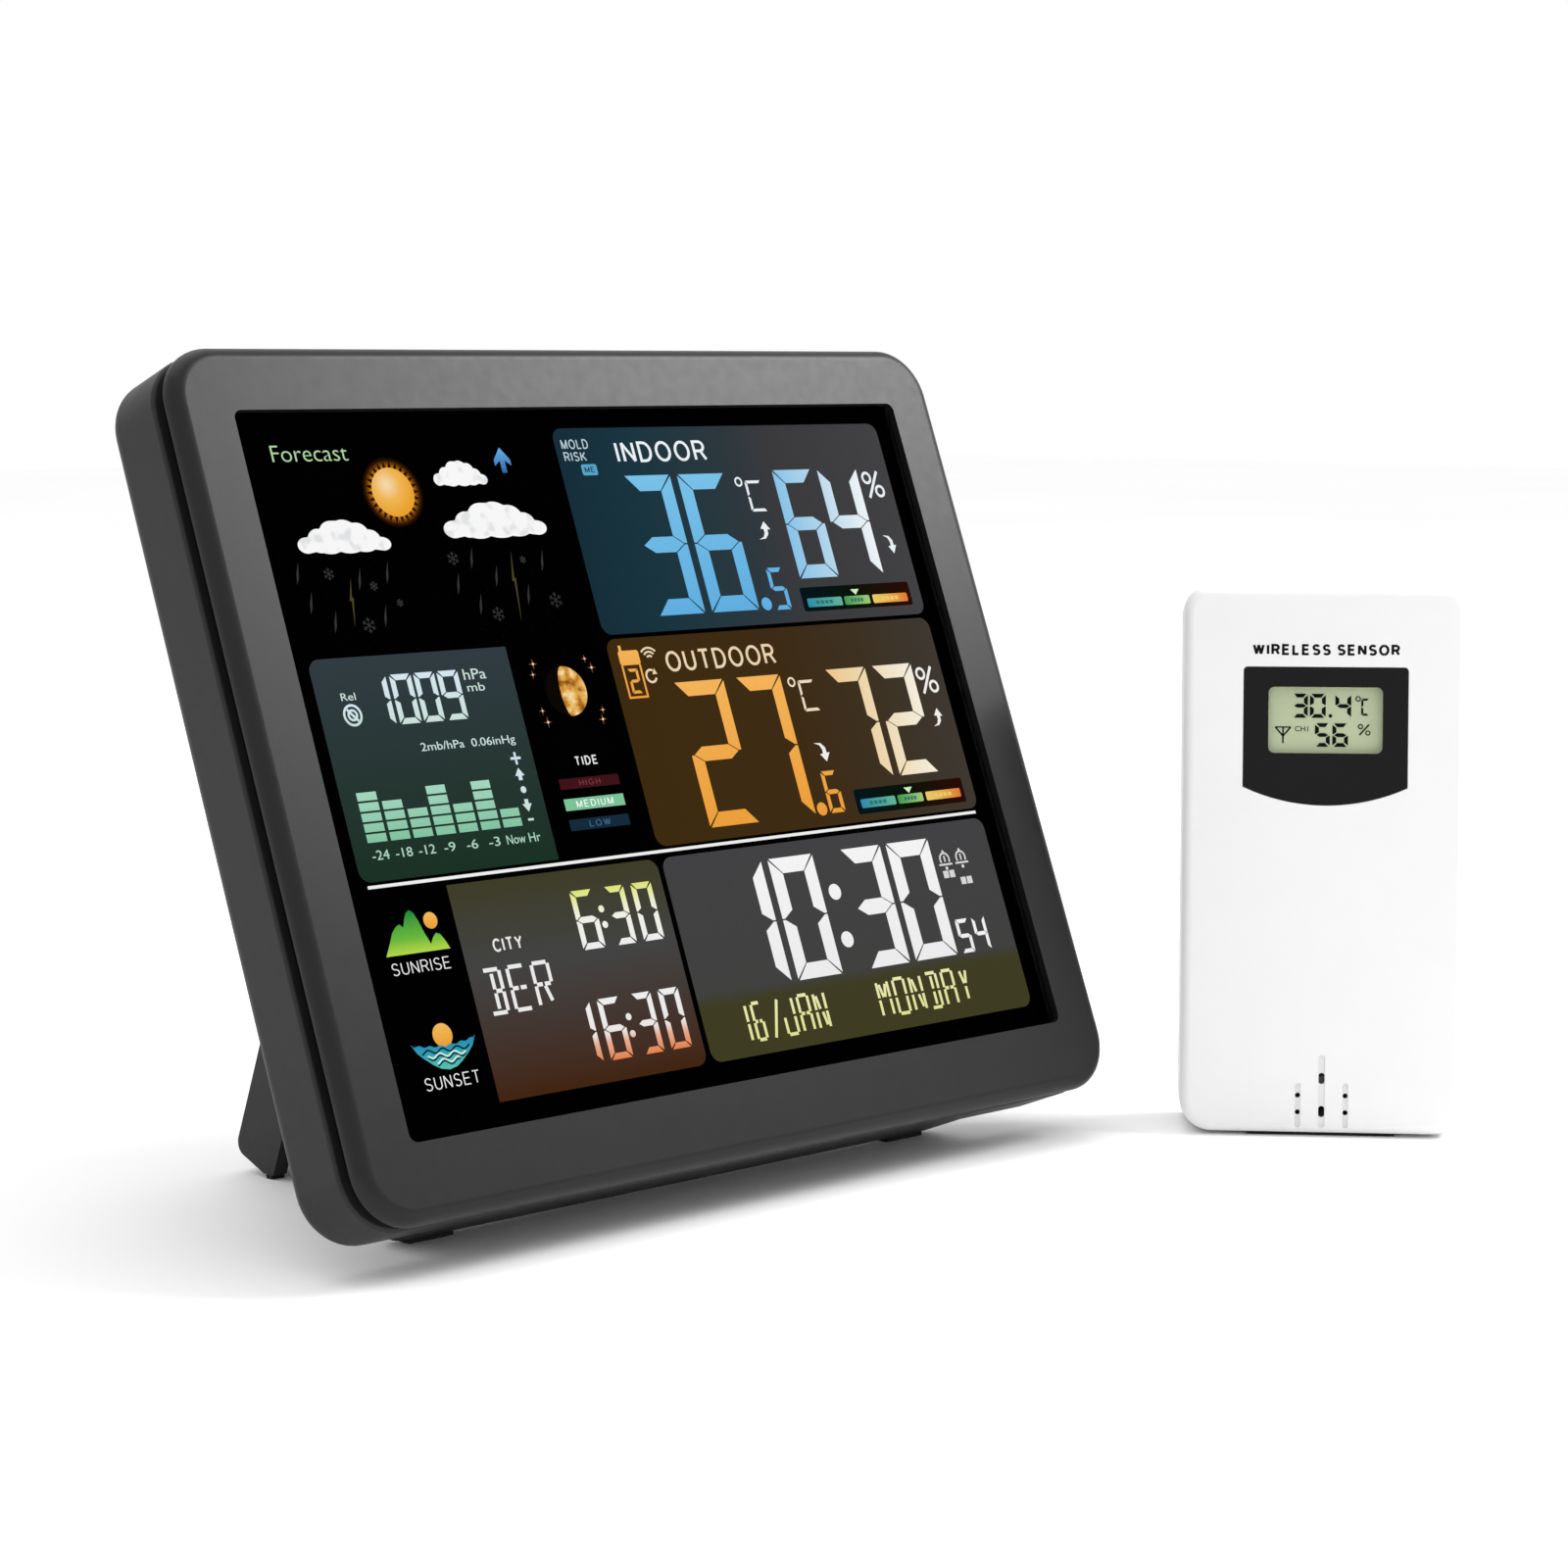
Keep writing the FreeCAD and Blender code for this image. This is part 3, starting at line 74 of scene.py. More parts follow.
def sensor_frame():
    """The sensor's upright frame, laid out like the console's."""
    low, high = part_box("sensor_foot")
    turn = Matrix.Rotation(SENSOR_TURN, 4, "Z")
    centre = (low + high) / 2
    origin = Vector((centre.x, centre.y, 0)) - turn @ Vector((0, FOOT_CENTRE * MM, 0))
    return Matrix.Translation(origin) @ turn @ Matrix.Rotation(-SENSOR_LEAN, 4, "X")


CONSOLE = console_frame()
SENSOR = sensor_frame()
# A sheet's own axes are x right, y up the face and z out of the face, as seen by its reader.
FACE_AXES = Matrix(((1, 0, 0, 0), (0, 0, -1, 0), (0, 1, 0, 0), (0, 0, 0, 1)))
BACK_AXES = Matrix(((-1, 0, 0, 0), (0, 0, 1, 0), (0, 1, 0, 0), (0, 0, 0, 1)))


def sheet_on(place, axes, x, depth, z):
    """A drawing sheet whose origin is a point of a housing's upright frame."""
    return place @ Matrix.Translation(Vector((x, depth, z)) * MM) @ axes


SCREEN = sheet_on(CONSOLE, FACE_AXES, -WINDOW_W / 2 + INK_RIGHT, LCD_FRONT - INK_PROUD,
                  WINDOW_BOTTOM + WINDOW_H + INK_UP)
CONSOLE_BACK = sheet_on(CONSOLE, BACK_AXES, 0, BACK, 0)
SENSOR_FACE = sheet_on(SENSOR, FACE_AXES, 0, 0, 0)
SENSOR_LCD = sheet_on(SENSOR, FACE_AXES, 0, SENSOR_LCD_FRONT, 0)


# ---- colours and materials ----
MOTTLE = 0.05               # how far a backlit ink's brightness wanders


def linear(hex_colour):
    """A linear colour with alpha from an sRGB one, such as "1f1f20"."""
    channels = []
    for i in (0, 2, 4):
        c = int(hex_colour[i:i + 2], 16) / 255
        channels.append(c / 12.92 if c <= 0.04045 else ((c + 0.055) / 1.055) ** 2.4)
    return (*channels, 1.0)


class Nodes:
    """A small helper that builds one Principled material's nodes."""

    def __init__(self, name):
        self.material = bpy.data.materials.new(name)
        self.material.use_nodes = True
        self.tree = self.material.node_tree
        self.shader = self.tree.nodes["Principled BSDF"]

    def new(self, kind, **settings):
        node = self.tree.nodes.new(kind)
        for key, value in settings.items():
            if key in node.inputs:
                node.inputs[key].default_value = value
            else:
                setattr(node, key, value)
        return node

    def link(self, source, target):
        self.tree.links.new(source, target)

    def set(self, **inputs):
        for key, value in inputs.items():
            self.shader.inputs[key.replace("_", " ")].default_value = value

    def coords(self, space="Object"):
        return self.new("ShaderNodeTexCoord").outputs[space]

    def noise(self, scale, detail=3.0):
        node = self.new("ShaderNodeTexNoise", Scale=scale, Detail=detail)
        self.link(self.coords(), node.inputs["Vector"])
        return node.outputs["Fac"]

    def ramp(self, factor, stops):
        """A colour for each value of factor; a stop's colour is sRGB text or linear numbers."""
        node = self.new("ShaderNodeValToRGB")
        elements = node.color_ramp.elements
        while len(elements) < len(stops):
            elements.new(0.5)
        for element, (position, colour) in zip(elements, stops):
            element.position = position
            element.color = linear(colour) if isinstance(colour, str) else colour
        self.link(factor, node.inputs["Fac"])
        return node.outputs["Color"]

    def span(self, factor, low, high):
        """A number from 0 to 1 turned into one from low to high."""
        node = self.new("ShaderNodeMapRange")
        node.inputs["To Min"].default_value = low
        node.inputs["To Max"].default_value = high
        self.link(factor, node.inputs["Value"])
        return node.outputs["Result"]

    def bump(self, height, strength, distance_mm):
        node = self.new("ShaderNodeBump")
        node.inputs["Strength"].default_value = strength
        node.inputs["Distance"].default_value = distance_mm * MM
        self.link(height, node.inputs["Height"])
        self.link(node.outputs["Normal"], self.shader.inputs["Normal"])

    def centred(self, location, scale):
        """A number that falls from 1 at a point of the piece's own box to 0 around it."""
        mapping = self.new("ShaderNodeMapping")
        mapping.inputs["Location"].default_value = location
        mapping.inputs["Scale"].default_value = scale
        gradient = self.new("ShaderNodeTexGradient", gradient_type="SPHERICAL")
        self.link(self.coords("Generated"), mapping.inputs["Vector"])
        self.link(mapping.outputs["Vector"], gradient.inputs["Vector"])
        return gradient.outputs["Fac"]

    def glow(self, colour):
        """Gives off a colour and reflects none, as a backlit ink does."""
        self.set(Base_Color=(0, 0, 0, 1), Specular_IOR_Level=0.0, Emission_Strength=1.0)
        self.link(colour, self.shader.inputs["Emission Color"])
        return self.material


def tinted(colour, factor):
    return (*(min(1.0, c * factor) for c in colour[:3]), 1.0)


def plastic(name, colour, roughness, grain=2200.0, bump=0.25, variation=0.08, specular=0.5):
    """Moulded plastic: spark-eroded grain in the bump, and slightly uneven colour and gloss."""
    m = Nodes(name)
    base = linear(colour)
    cloud = m.noise(60.0, 4.0)
    m.link(m.ramp(cloud, [(0.3, tinted(base, 1 - variation)), (0.7, tinted(base, 1 + variation))]),
           m.shader.inputs["Base Color"])
    m.link(m.span(m.noise(420.0), roughness - 0.05, roughness + 0.05), m.shader.inputs["Roughness"])
    m.set(Specular_IOR_Level=specular)
    m.bump(m.noise(grain, 2.0), bump, 0.03)
    return m.material


def rubber(name, colour):
    m = Nodes(name)
    base = linear(colour)
    m.link(m.ramp(m.noise(900.0), [(0.3, tinted(base, 0.8)), (0.7, tinted(base, 1.3))]),
           m.shader.inputs["Base Color"])
    m.set(Roughness=0.85, Specular_IOR_Level=0.3)
    m.bump(m.noise(1500.0), 0.5, 0.05)
    return m.material


def metal(name, colour, roughness, brushed=0.0):
    m = Nodes(name)
    base = linear(colour)
    stretch = m.new("ShaderNodeMapping")
    stretch.inputs["Scale"].default_value = (1.0, 1.0 + brushed, 1.0)
    m.link(m.coords(), stretch.inputs["Vector"])
    noise = m.new("ShaderNodeTexNoise", Scale=700.0, Detail=4.0)
    m.link(stretch.outputs["Vector"], noise.inputs["Vector"])
    m.link(m.ramp(noise.outputs["Fac"], [(0.25, tinted(base, 0.85)), (0.75, tinted(base, 1.1))]),
           m.shader.inputs["Base Color"])
    m.link(m.span(noise.outputs["Fac"], roughness - 0.08, roughness + 0.1), m.shader.inputs["Roughness"])
    m.set(Metallic=1.0)
    m.bump(noise.outputs["Fac"], 0.2, 0.02)
    return m.material


def circuit_board(name, colour):
    """Solder mask over copper: paler tracks on a darker board."""
    m = Nodes(name)
    base = linear(colour)
    bricks = m.new("ShaderNodeTexBrick", Scale=180.0)
    bricks.inputs["Mortar Size"].default_value = 0.05
    bricks.inputs["Color1"].default_value = base
    bricks.inputs["Color2"].default_value = tinted(base, 1.25)
    bricks.inputs["Mortar"].default_value = tinted(base, 2.2)
    m.link(m.coords(), bricks.inputs["Vector"])
    m.link(bricks.outputs["Color"], m.shader.inputs["Base Color"])
    m.link(m.span(m.noise(300.0), 0.25, 0.45), m.shader.inputs["Roughness"])
    m.bump(bricks.outputs["Fac"], 0.3, 0.03)
    return m.material


def clear_lens(name, colour, alpha, specular):
    """Clear moulded plastic with a faint waviness."""
    m = Nodes(name)
    m.set(Base_Color=linear(colour), Alpha=alpha, Specular_IOR_Level=specular)
    m.link(m.span(m.noise(35.0), 0.04, 0.09), m.shader.inputs["Roughness"])
    m.bump(m.noise(25.0, 2.0), 0.02, 0.05)
    return m.material


def lit(name, stops, direction="Y"):
    """A backlit LCD ink whose colour runs across the piece, with the cell's faint mottling."""
    m = Nodes(name)
    split = m.new("ShaderNodeSeparateXYZ")
    m.link(m.coords("Generated"), split.inputs["Vector"])
    colour = m.ramp(split.outputs[direction], stops)
    mottle = m.new("ShaderNodeMix", data_type="RGBA", blend_type="MULTIPLY")
    mottle.inputs["Factor"].default_value = 1.0
    m.link(colour, mottle.inputs["A"])
    m.link(m.span(m.noise(1800.0, 2.0), 1.0 - MOTTLE, 1.0 + MOTTLE), mottle.inputs["B"])
    return m.glow(mottle.outputs["Result"])


def plain_lit(name, colour):
    return lit(name, [(0.0, colour), (1.0, colour)])


def ink(name, colour, roughness=0.5):
    """Pad-printed or LCD segment ink."""
    m = Nodes(name)
    base = linear(colour)
    m.link(m.ramp(m.noise(1200.0), [(0.3, tinted(base, 0.85)), (0.7, tinted(base, 1.15))]),
           m.shader.inputs["Base Color"])
    m.set(Roughness=roughness, Specular_IOR_Level=0.1)
    return m.material


# ---- flat shapes ----
INK_T = 0.03                # thickness of a printed or lit layer
LEVEL = 0.05                # distance from one layer to the next above it
CORNER = 0.7                # a pen line is split where the cosine of its turn is under this


def prism(bm, outline, z0, z1):
    """Adds a closed prism over a simple outline of (x, y) points."""
    low = [bm.verts.new((x * MM, y * MM, z0 * MM)) for x, y in outline]
    high = [bm.verts.new((x * MM, y * MM, z1 * MM)) for x, y in outline]
    bm.faces.new(list(reversed(low)))
    bm.faces.new(high)
    count = len(outline)
    for i in range(count):
        j = (i + 1) % count
        bm.faces.new((low[i], low[j], high[j], high[i]))


def area(outline):
    """Above 0 for an outline that runs anticlockwise, seen with y up."""
    total = 0.0
    for (x0, y0), (x1, y1) in zip(outline, outline[1:] + outline[:1]):
        total += x0 * y1 - x1 * y0
    return total / 2


def add_piece(name, mesh, material, matrix, body):
    piece = bpy.data.objects.new(name, mesh)
    bpy.context.scene.collection.objects.link(piece)
    piece.matrix_world = matrix
    mesh.materials.clear()
    mesh.materials.append(material)
    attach(piece, body)
    return piece


def draw(name, outlines, material, level, sheet=SCREEN, body="console", slot="lcd", flip=-1):
    """One piece made of thin closed shapes. flip is -1 where the outlines' y runs down the sheet."""
    bm = bmesh.new()
    z0 = level * LEVEL
    for outline in outlines:
        points = [(x, y * flip) for x, y in outline]
        if area(points) < 0:
            points.reverse()
        prism(bm, points, z0, z0 + INK_T)
    mesh = bpy.data.meshes.new(name)
    bm.to_mesh(mesh)
    bm.free()
    return add_piece(name, mesh, material, sheet, body)


def rect(x0, x1, y0, y1):
    return [(x0, y0), (x1, y0), (x1, y1), (x0, y1)]


def arc_points(cx, cy, r, start, end, steps):
    points = []
    for i in range(steps + 1):
        a = math.radians(start + (end - start) * i / steps)
        points.append((cx + r * math.cos(a), cy + r * math.sin(a)))
    return points


def round_rect(x0, x1, y0, y1, r, square=()):
    """A rectangle with rounded corners, apart from those named in square: tl, tr, bl, br."""
    corners = [("br", x1, y1, -1, -1, 0), ("bl", x0, y1, 1, -1, 90), ("tl", x0, y0, 1, 1, 180),
               ("tr", x1, y0, -1, 1, 270)]
    points = []
    for name, x, y, sx, sy, start in corners:
        if name in square:
            points.append((x, y))
        else:
            points += arc_points(x + sx * r, y + sy * r, r, start, start + 90, 6)
    return points


def disc(cx, cy, r, steps=40):
    return arc_points(cx, cy, r, 0, 360, steps)[:-1]


def ring(cx, cy, r, width, start=0.0, end=360.0, steps=36):
    """A ring or part of one, as two closed arcs laid end to end."""
    middle, half = (start + end) / 2, max(4, steps // 2)
    outer, inner = r + width / 2, r - width / 2
    return [arc_points(cx, cy, outer, a0, a1, half) + arc_points(cx, cy, inner, a1, a0, half)
            for a0, a1 in ((start, middle), (middle, end))]


def stroke(x0, y0, x1, y1, width):
    """A straight bar between two points."""
    length = math.hypot(x1 - x0, y1 - y0)
    nx, ny = -(y1 - y0) / length * width / 2, (x1 - x0) / length * width / 2
    return [(x0 + nx, y0 + ny), (x1 + nx, y1 + ny), (x1 - nx, y1 - ny), (x0 - nx, y0 - ny)]


def ribbon(points, width):
    """The outline of an even line along gently turning points."""
    normals = []
    for (x0, y0), (x1, y1) in zip(points, points[1:]):
        length = math.hypot(x1 - x0, y1 - y0)
        normals.append(((y0 - y1) / length, (x1 - x0) / length))
    left, right = [], []
    for i, (x, y) in enumerate(points):
        nx0, ny0 = normals[max(i - 1, 0)]
        nx1, ny1 = normals[min(i, len(normals) - 1)]
        nx, ny = nx0 + nx1, ny0 + ny1
        k = width / (nx * nx + ny * ny)
        left.append((x + nx * k, y + ny * k))
        right.append((x - nx * k, y - ny * k))
    return left + right[::-1]


def heading(start, end):
    return math.atan2(end[1] - start[1], end[0] - start[0])


def pen(points, width):
    """Outlines of a drawn line, which is split and squared off at its corners."""
    runs, run = [], [points[0]]
    for before, here, after in zip(points, points[1:], points[2:]):
        run.append(here)
        if math.cos(heading(here, after) - heading(before, here)) < CORNER:
            runs.append(run)
            run = [here]
    runs.append(run + [points[-1]])
    outlines = []
    for i, run in enumerate(runs):
        if i > 0:
            run = [extended(run[1], run[0], width / 2)] + run[1:]
        if i < len(runs) - 1:
            run = run[:-1] + [extended(run[-2], run[-1], width / 2)]
        outlines.append(ribbon(run, width))
    return outlines


def extended(start, end, by):
    """The end of a line that is carried on by some length."""
    length = math.hypot(end[0] - start[0], end[1] - start[1])
    return (end[0] + (end[0] - start[0]) * by / length, end[1] + (end[1] - start[1]) * by / length)


def star(cx, cy, outer, inner, points):
    outline = []
    for i in range(2 * points):
        r = outer if i % 2 == 0 else inner
        a = math.pi * i / points
        outline.append((cx + r * math.cos(a), cy + r * math.sin(a)))
    return outline


# ---- numerals ----
SEGMENTS = {"0": "abcdef", "1": "bc", "2": "abdeg", "3": "abcdg", "4": "bcfg", "5": "acdfg", "6": "acdefg",
            "7": "abc", "8": "abcdefg", "9": "abcdfg", "C": "adef"}


def digit(char, x0, x1, y0, y1, t, g=0.14):
    """A seven-segment numeral with mitred corners, filling a box; t is the bars' thickness, g their gap."""
    mid = (y0 + y1) / 2
    tip = 0.22 * t
    top = [(x0 + 2 * g, y0), (x1 - 2 * g, y0), (x1 - t - g, y0 + t), (x0 + t + g, y0 + t)]
    right = [(x1, y0 + 2 * g), (x1, mid - g), (x1 - tip, mid - g), (x1 - t, mid - t / 2 - g),
             (x1 - t, y0 + t + g)]
    centre = [(x0 + tip + g, mid), (x0 + t + g, mid - t / 2), (x1 - t - g, mid - t / 2), (x1 - tip - g, mid),
              (x1 - t - g, mid + t / 2), (x0 + t + g, mid + t / 2)]

    def across(points):
        return [(x0 + x1 - x, y) for x, y in points]

    def down(points):
        return [(x, y0 + y1 - y) for x, y in points]

    shapes = {"a": top, "b": right, "c": down(right), "d": down(top), "e": across(down(right)),
              "f": across(right), "g": centre}
    return [shapes[s] for s in SEGMENTS[char]]


STARBURST = {"A": "abcefgh", "B": "abcdhil", "D": "abcdil", "E": "adefgh", "J": "bcde", "M": "bcefjk",
             "N": "bcefjm", "O": "abcdef", "R": "abefghm", "Y": "jkl", "1": "bc", "6": "acdefgh", "/": "kn"}


def letter(char, x0, x1, y0, y1, t):
    """A fourteen-segment letter of bars t thick; segments g and h are the halves of the middle bar."""
    mid, centre = (y0 + y1) / 2, (x0 + x1) / 2
    h = t / 2
    e = 0.35 * t            # gap at a bar's end
    left, right, top, bottom = x0 + h, x1 - h, y0 + h, y1 - h
    lines = {
        "a": (left + e, top, right - e, top), "d": (left + e, bottom, right - e, bottom),
        "b": (right, top + e, right, mid - e), "c": (right, mid + e, right, bottom - e),
        "f": (left, top + e, left, mid - e), "e": (left, mid + e, left, bottom - e),
        "g": (left + e, mid, centre - e, mid), "h": (centre + e, mid, right - e, mid),
        "i": (centre, top + t, centre, mid - h), "l": (centre, mid + h, centre, bottom - t),
        "j": (left + t, top + t, centre - e, mid - h), "k": (right - t, top + t, centre + e, mid - h),
        "m": (centre + e, mid + h, right - t, bottom - t), "n": (centre - e, mid + h, left + t, bottom - t),
    }
    return [stroke(*lines[s], t) for s in STARBURST[char]]


def word(chars, x0, x1, y0, y1, t, space):
    """Fourteen-segment letters side by side, filling a box."""
    count = len(chars)
    width = (x1 - x0 - space * (count - 1)) / count
    shapes = []
    for i, char in enumerate(chars):
        left = x0 + i * (width + space)
        shapes += letter(char, left, left + width, y0, y1, t)
    return shapes


def oval(cx, cy, rx, ry, start, end):
    """Points of an elliptical arc; angles in degrees, y down."""
    steps = max(6, int(abs(end - start) / 18))
    return [(cx + rx * math.cos(math.radians(start + (end - start) * i / steps)),
             cy + ry * math.sin(math.radians(start + (end - start) * i / steps))) for i in range(steps + 1)]


WORD_GAP = 0.45             # between words, as a share of a capital's height
# Plain capitals as pen lines: each is one unit tall, y down.
CAPITALS = {
    "A": [[(0.35, 0), (0, 1)], [(0.35, 0), (0.70, 1)], [(0.13, 0.66), (0.57, 0.66)]],
    "C": [oval(0.38, 0.5, 0.38, 0.5, -42, -318)],
    "D": [[(0, 0.5), (0, 0), (0.26, 0)] + oval(0.26, 0.5, 0.40, 0.5, -90, 90)[1:] + [(0, 1), (0, 0.5)]],
    "E": [[(0.56, 0), (0, 0), (0, 1), (0.58, 1)], [(0, 0.48), (0.52, 0.48)]],
    "G": [oval(0.39, 0.5, 0.39, 0.5, -42, -330), [(0.42, 0.56), (0.75, 0.56), (0.75, 0.80)]],
    "H": [[(0, 0), (0, 1)], [(0.62, 0), (0.62, 1)], [(0, 0.48), (0.62, 0.48)]],
    "I": [[(0, 0), (0, 1)]],
    "K": [[(0, 0), (0, 1)], [(0.60, 0), (0, 0.64)], [(0.22, 0.42), (0.64, 1)]],
    "L": [[(0, 0), (0, 1), (0.52, 1)]],
    "M": [[(0, 1), (0, 0)], [(0, 0), (0.38, 1)], [(0.38, 1), (0.76, 0)], [(0.76, 0), (0.76, 1)]],
    "N": [[(0, 1), (0, 0)], [(0, 0), (0.62, 1)], [(0.62, 1), (0.62, 0)]],
    "O": [oval(0.40, 0.5, 0.40, 0.5, -90, 90), oval(0.40, 0.5, 0.40, 0.5, 90, 270)],
    "R": [[(0, 1), (0, 0), (0.34, 0)] + oval(0.34, 0.26, 0.26, 0.26, -90, 90)[1:] + [(0, 0.52)],
          [(0.36, 0.52), (0.62, 1)]],
    "S": [oval(0.30, 0.25, 0.27, 0.25, -25, -270) + oval(0.30, 0.75, 0.29, 0.25, -90, 150)[1:]],
    "T": [[(0, 0), (0.60, 0)], [(0.30, 0), (0.30, 1)]],
    "U": [[(0, 0)] + oval(0.31, 0.66, 0.31, 0.34, 180, 0) + [(0.62, 0)]],
    "V": [[(0, 0), (0.33, 1)], [(0.33, 1), (0.66, 0)]],
    "W": [[(0, 0), (0.25, 1)], [(0.25, 1), (0.48, 0)], [(0.48, 0), (0.71, 1)], [(0.71, 1), (0.96, 0)]],
    "Y": [[(0, 0), (0.32, 0.50)], [(0.64, 0), (0.32, 0.50)], [(0.32, 0.50), (0.32, 1)]],
}


def caption(name, words, x0, x1, y0, y1, material, level, weight=0.15, space=0.22, **settings):
    """Plain capitals fitted into a box of their sheet; weight is the line's share of the height."""
    lines, cursor = [], 0.0
    for char in words:
        if char == " ":
            cursor += WORD_GAP
            continue
        glyph = CAPITALS[char]
        width = max(x for line in glyph for x, y in line)
        lines += [[(x + cursor, y) for x, y in line] for line in glyph]
        cursor += width + weight + space
    across = (x1 - x0) / (cursor - space)
    down = y1 - y0
    upright = settings.get("flip", -1) == -1
    outlines = []
    for line in lines:
        for outline in pen(line, weight):
            placed = []
            for x, y in outline:
                drop = (y * (1 - weight) + weight / 2) * down
                placed.append((x0 + (x + weight / 2) * across, y0 + drop if upright else y1 - drop))
            outlines.append(placed)
    return draw(name, outlines, material, level, **settings)


def text(name, words, x0, x1, y0, y1, material, level, sheet=SCREEN, body="console", slot="lcd", flip=-1,
         swell=0.0):
    """Plain lettering, as a closed mesh fitted into a box of its sheet; swell below 0 thins its strokes."""
    curve = bpy.data.curves.new(name, "FONT")
    curve.body = words
    curve.extrude = 0.05    # any depth, because z is set below
    curve.offset = swell
    curve.resolution_u = 4
    holder = bpy.data.objects.new(name, curve)
    bpy.context.scene.collection.objects.link(holder)
    bpy.context.view_layer.update()
    mesh = bpy.data.meshes.new_from_object(holder.evaluated_get(bpy.context.evaluated_depsgraph_get()))
    bpy.data.objects.remove(holder)
    xs, ys = [v.co.x for v in mesh.vertices], [v.co.y for v in mesh.vertices]
    low_x, low_y = min(xs), min(ys)
    scale_x = (x1 - x0) / (max(xs) - low_x)
    scale_y = (y1 - y0) / (max(ys) - low_y)
    base = max(y0 * flip, y1 * flip) - (y1 - y0)
    for v in mesh.vertices:
        z = level * LEVEL + (INK_T if v.co.z > 0 else 0)
        v.co = Vector(((v.co.x - low_x) * scale_x + x0, (v.co.y - low_y) * scale_y + base, z)) * MM
    return add_piece(name, mesh, material, sheet, body)


# ---- carried-over CAD nodes ----
def node_materials():
    cell = Nodes("cell_sleeve")
    split = cell.new("ShaderNodeSeparateXYZ")
    cell.link(cell.coords("Generated"), split.inputs["Vector"])
    cell.link(cell.ramp(split.outputs["X"], [(0.0, "b9b9b4"), (0.05, "1d1f24"), (0.72, "1d1f24"),
                                             (0.74, "b88a3c")]), cell.shader.inputs["Base Color"])
    cell.tree.nodes["Color Ramp"].color_ramp.interpolation = "CONSTANT"
    cell.link(cell.span(cell.noise(500.0), 0.25, 0.4), cell.shader.inputs["Roughness"])
    cell.set(Metallic=0.6)
    return {
        "charcoal_front": plastic("charcoal_front", "131314", 0.34, 2600.0, 0.2, 0.06, 0.25),
        "charcoal_back": plastic("charcoal_back", "1f1f20", 0.45, 1900.0, 0.5, 0.06, 0.25),
        "charcoal_stand": plastic("charcoal_stand", "1c1c1d", 0.45, 1900.0, 0.5, 0.06, 0.25),
        "lens": clear_lens("clear_lens", "020202", 0.03, 0.0),
        "lcd": plastic("lcd_black", "010101", 0.3, 3000.0, 0.05, 0.2, 0.0),
        "film": plastic("diffuser_white", "e8e8e8", 0.6),
        "guide": clear_lens("guide_clear", "dfe6ea", 0.5, 0.5),
        "led": plastic("led_phosphor", "f0e6a0", 0.3),
        "board_white": plastic("board_white", "d8d8d8", 0.4),
        "elastomer": rubber("elastomer_pink", "b07a78"),
        "black_plastic": plastic("carrier_black", "101010", 0.5),
        "board_green": circuit_board("board_green", "0d4a2a"),
        "chip": plastic("chip_black", "0c0c0d", 0.35),
        "shield": metal("tin_can", "b8b8b8", 0.35, 6.0),
        "copper": metal("copper_wire", "b5703c", 0.3),
        "switch_body": plastic("switch_black", "151515", 0.4),
        "inlet": plastic("inlet_black", "0b0b0c", 0.3),
        "probe": plastic("probe_white", "d9d6c8", 0.4),
        "cell": cell.material,
        "spring": metal("nickel_wire", "c4c4c0", 0.22),
        "contact": metal("nickel_sheet", "bdbdb8", 0.28, 4.0),
        "pad": rubber("pad_rubber", "1b1b1c"),
        "screw": metal("black_zinc", "55555a", 0.3),
        "key": plastic("key_satin", "3a3a3c", 0.4, 2200.0, 0.2, 0.05, 0.3),
        "white_front": plastic("sensor_white", "e4e4e4", 0.38, 2400.0, 0.06, 0.01, 0.3),
        "white_back": plastic("sensor_white_back", "cdcdcd", 0.45, 2000.0, 0.15, 0.01, 0.3),
        "panel_black": plastic("panel_gloss_black", "0d0d0d", 0.2, 3000.0, 0.03, 0.1, 0.15),
        "lcd_grey": plastic("reflective_lcd", "bbc5a3", 0.4, 3200.0, 0.05, 0.04, 0.1),
        "control_black": plastic("slider_black", "161616", 0.5),
        "control_grey": plastic("button_grey", "77777a", 0.45),
    }


def dress_nodes():
    materials = node_materials()
    for entry in frame["record"]["subparts"]:
        mesh = frame["nodes"][entry["node"]].data
        mesh.materials.clear()
        mesh.materials.append(materials[entry["material_slot"]])


# ---- the console's colour display ----
def numeral(chars, boxes, y0, y1, t):
    """Numerals at the same height; a box is (x0, x1)."""
    shapes = []
    for char, (x0, x1) in zip(chars, boxes):
        shapes += digit(char, x0, x1, y0, y1, t)
    return shapes


def cloud(x0, x1, y0, y1):
    """A heaped cloud: overlapping puffs inside a box, as one rounded outline."""
    w, h = x1 - x0, y1 - y0
    # each puff's centre and half sizes, as shares of the box
    puffs = [(0.10, 0.72, 0.100, 0.24), (0.24, 0.60, 0.120, 0.36), (0.40, 0.40, 0.140, 0.38),
             (0.52, 0.36, 0.145, 0.36), (0.66, 0.46, 0.130, 0.36), (0.79, 0.62, 0.110, 0.30),
             (0.91, 0.76, 0.090, 0.20), (0.34, 0.80, 0.130, 0.20), (0.55, 0.82, 0.140, 0.18),
             (0.72, 0.80, 0.120, 0.18)]
    outline = []
    steps = 96
    for i in range(steps):
        a = 2 * math.pi * i / steps
        dx, dy = math.cos(a), math.sin(a) * h / w
        reach = 0.0
        for px, py, rx, ry in puffs:
            reach = max(reach, ray_to_ellipse(dx, dy, px - 0.5, (py - 0.6) * h / w, rx, ry * h / w))
        outline.append((x0 + w * (0.5 + dx * reach), y0 + h * 0.6 + w * dy * reach))
    return outline


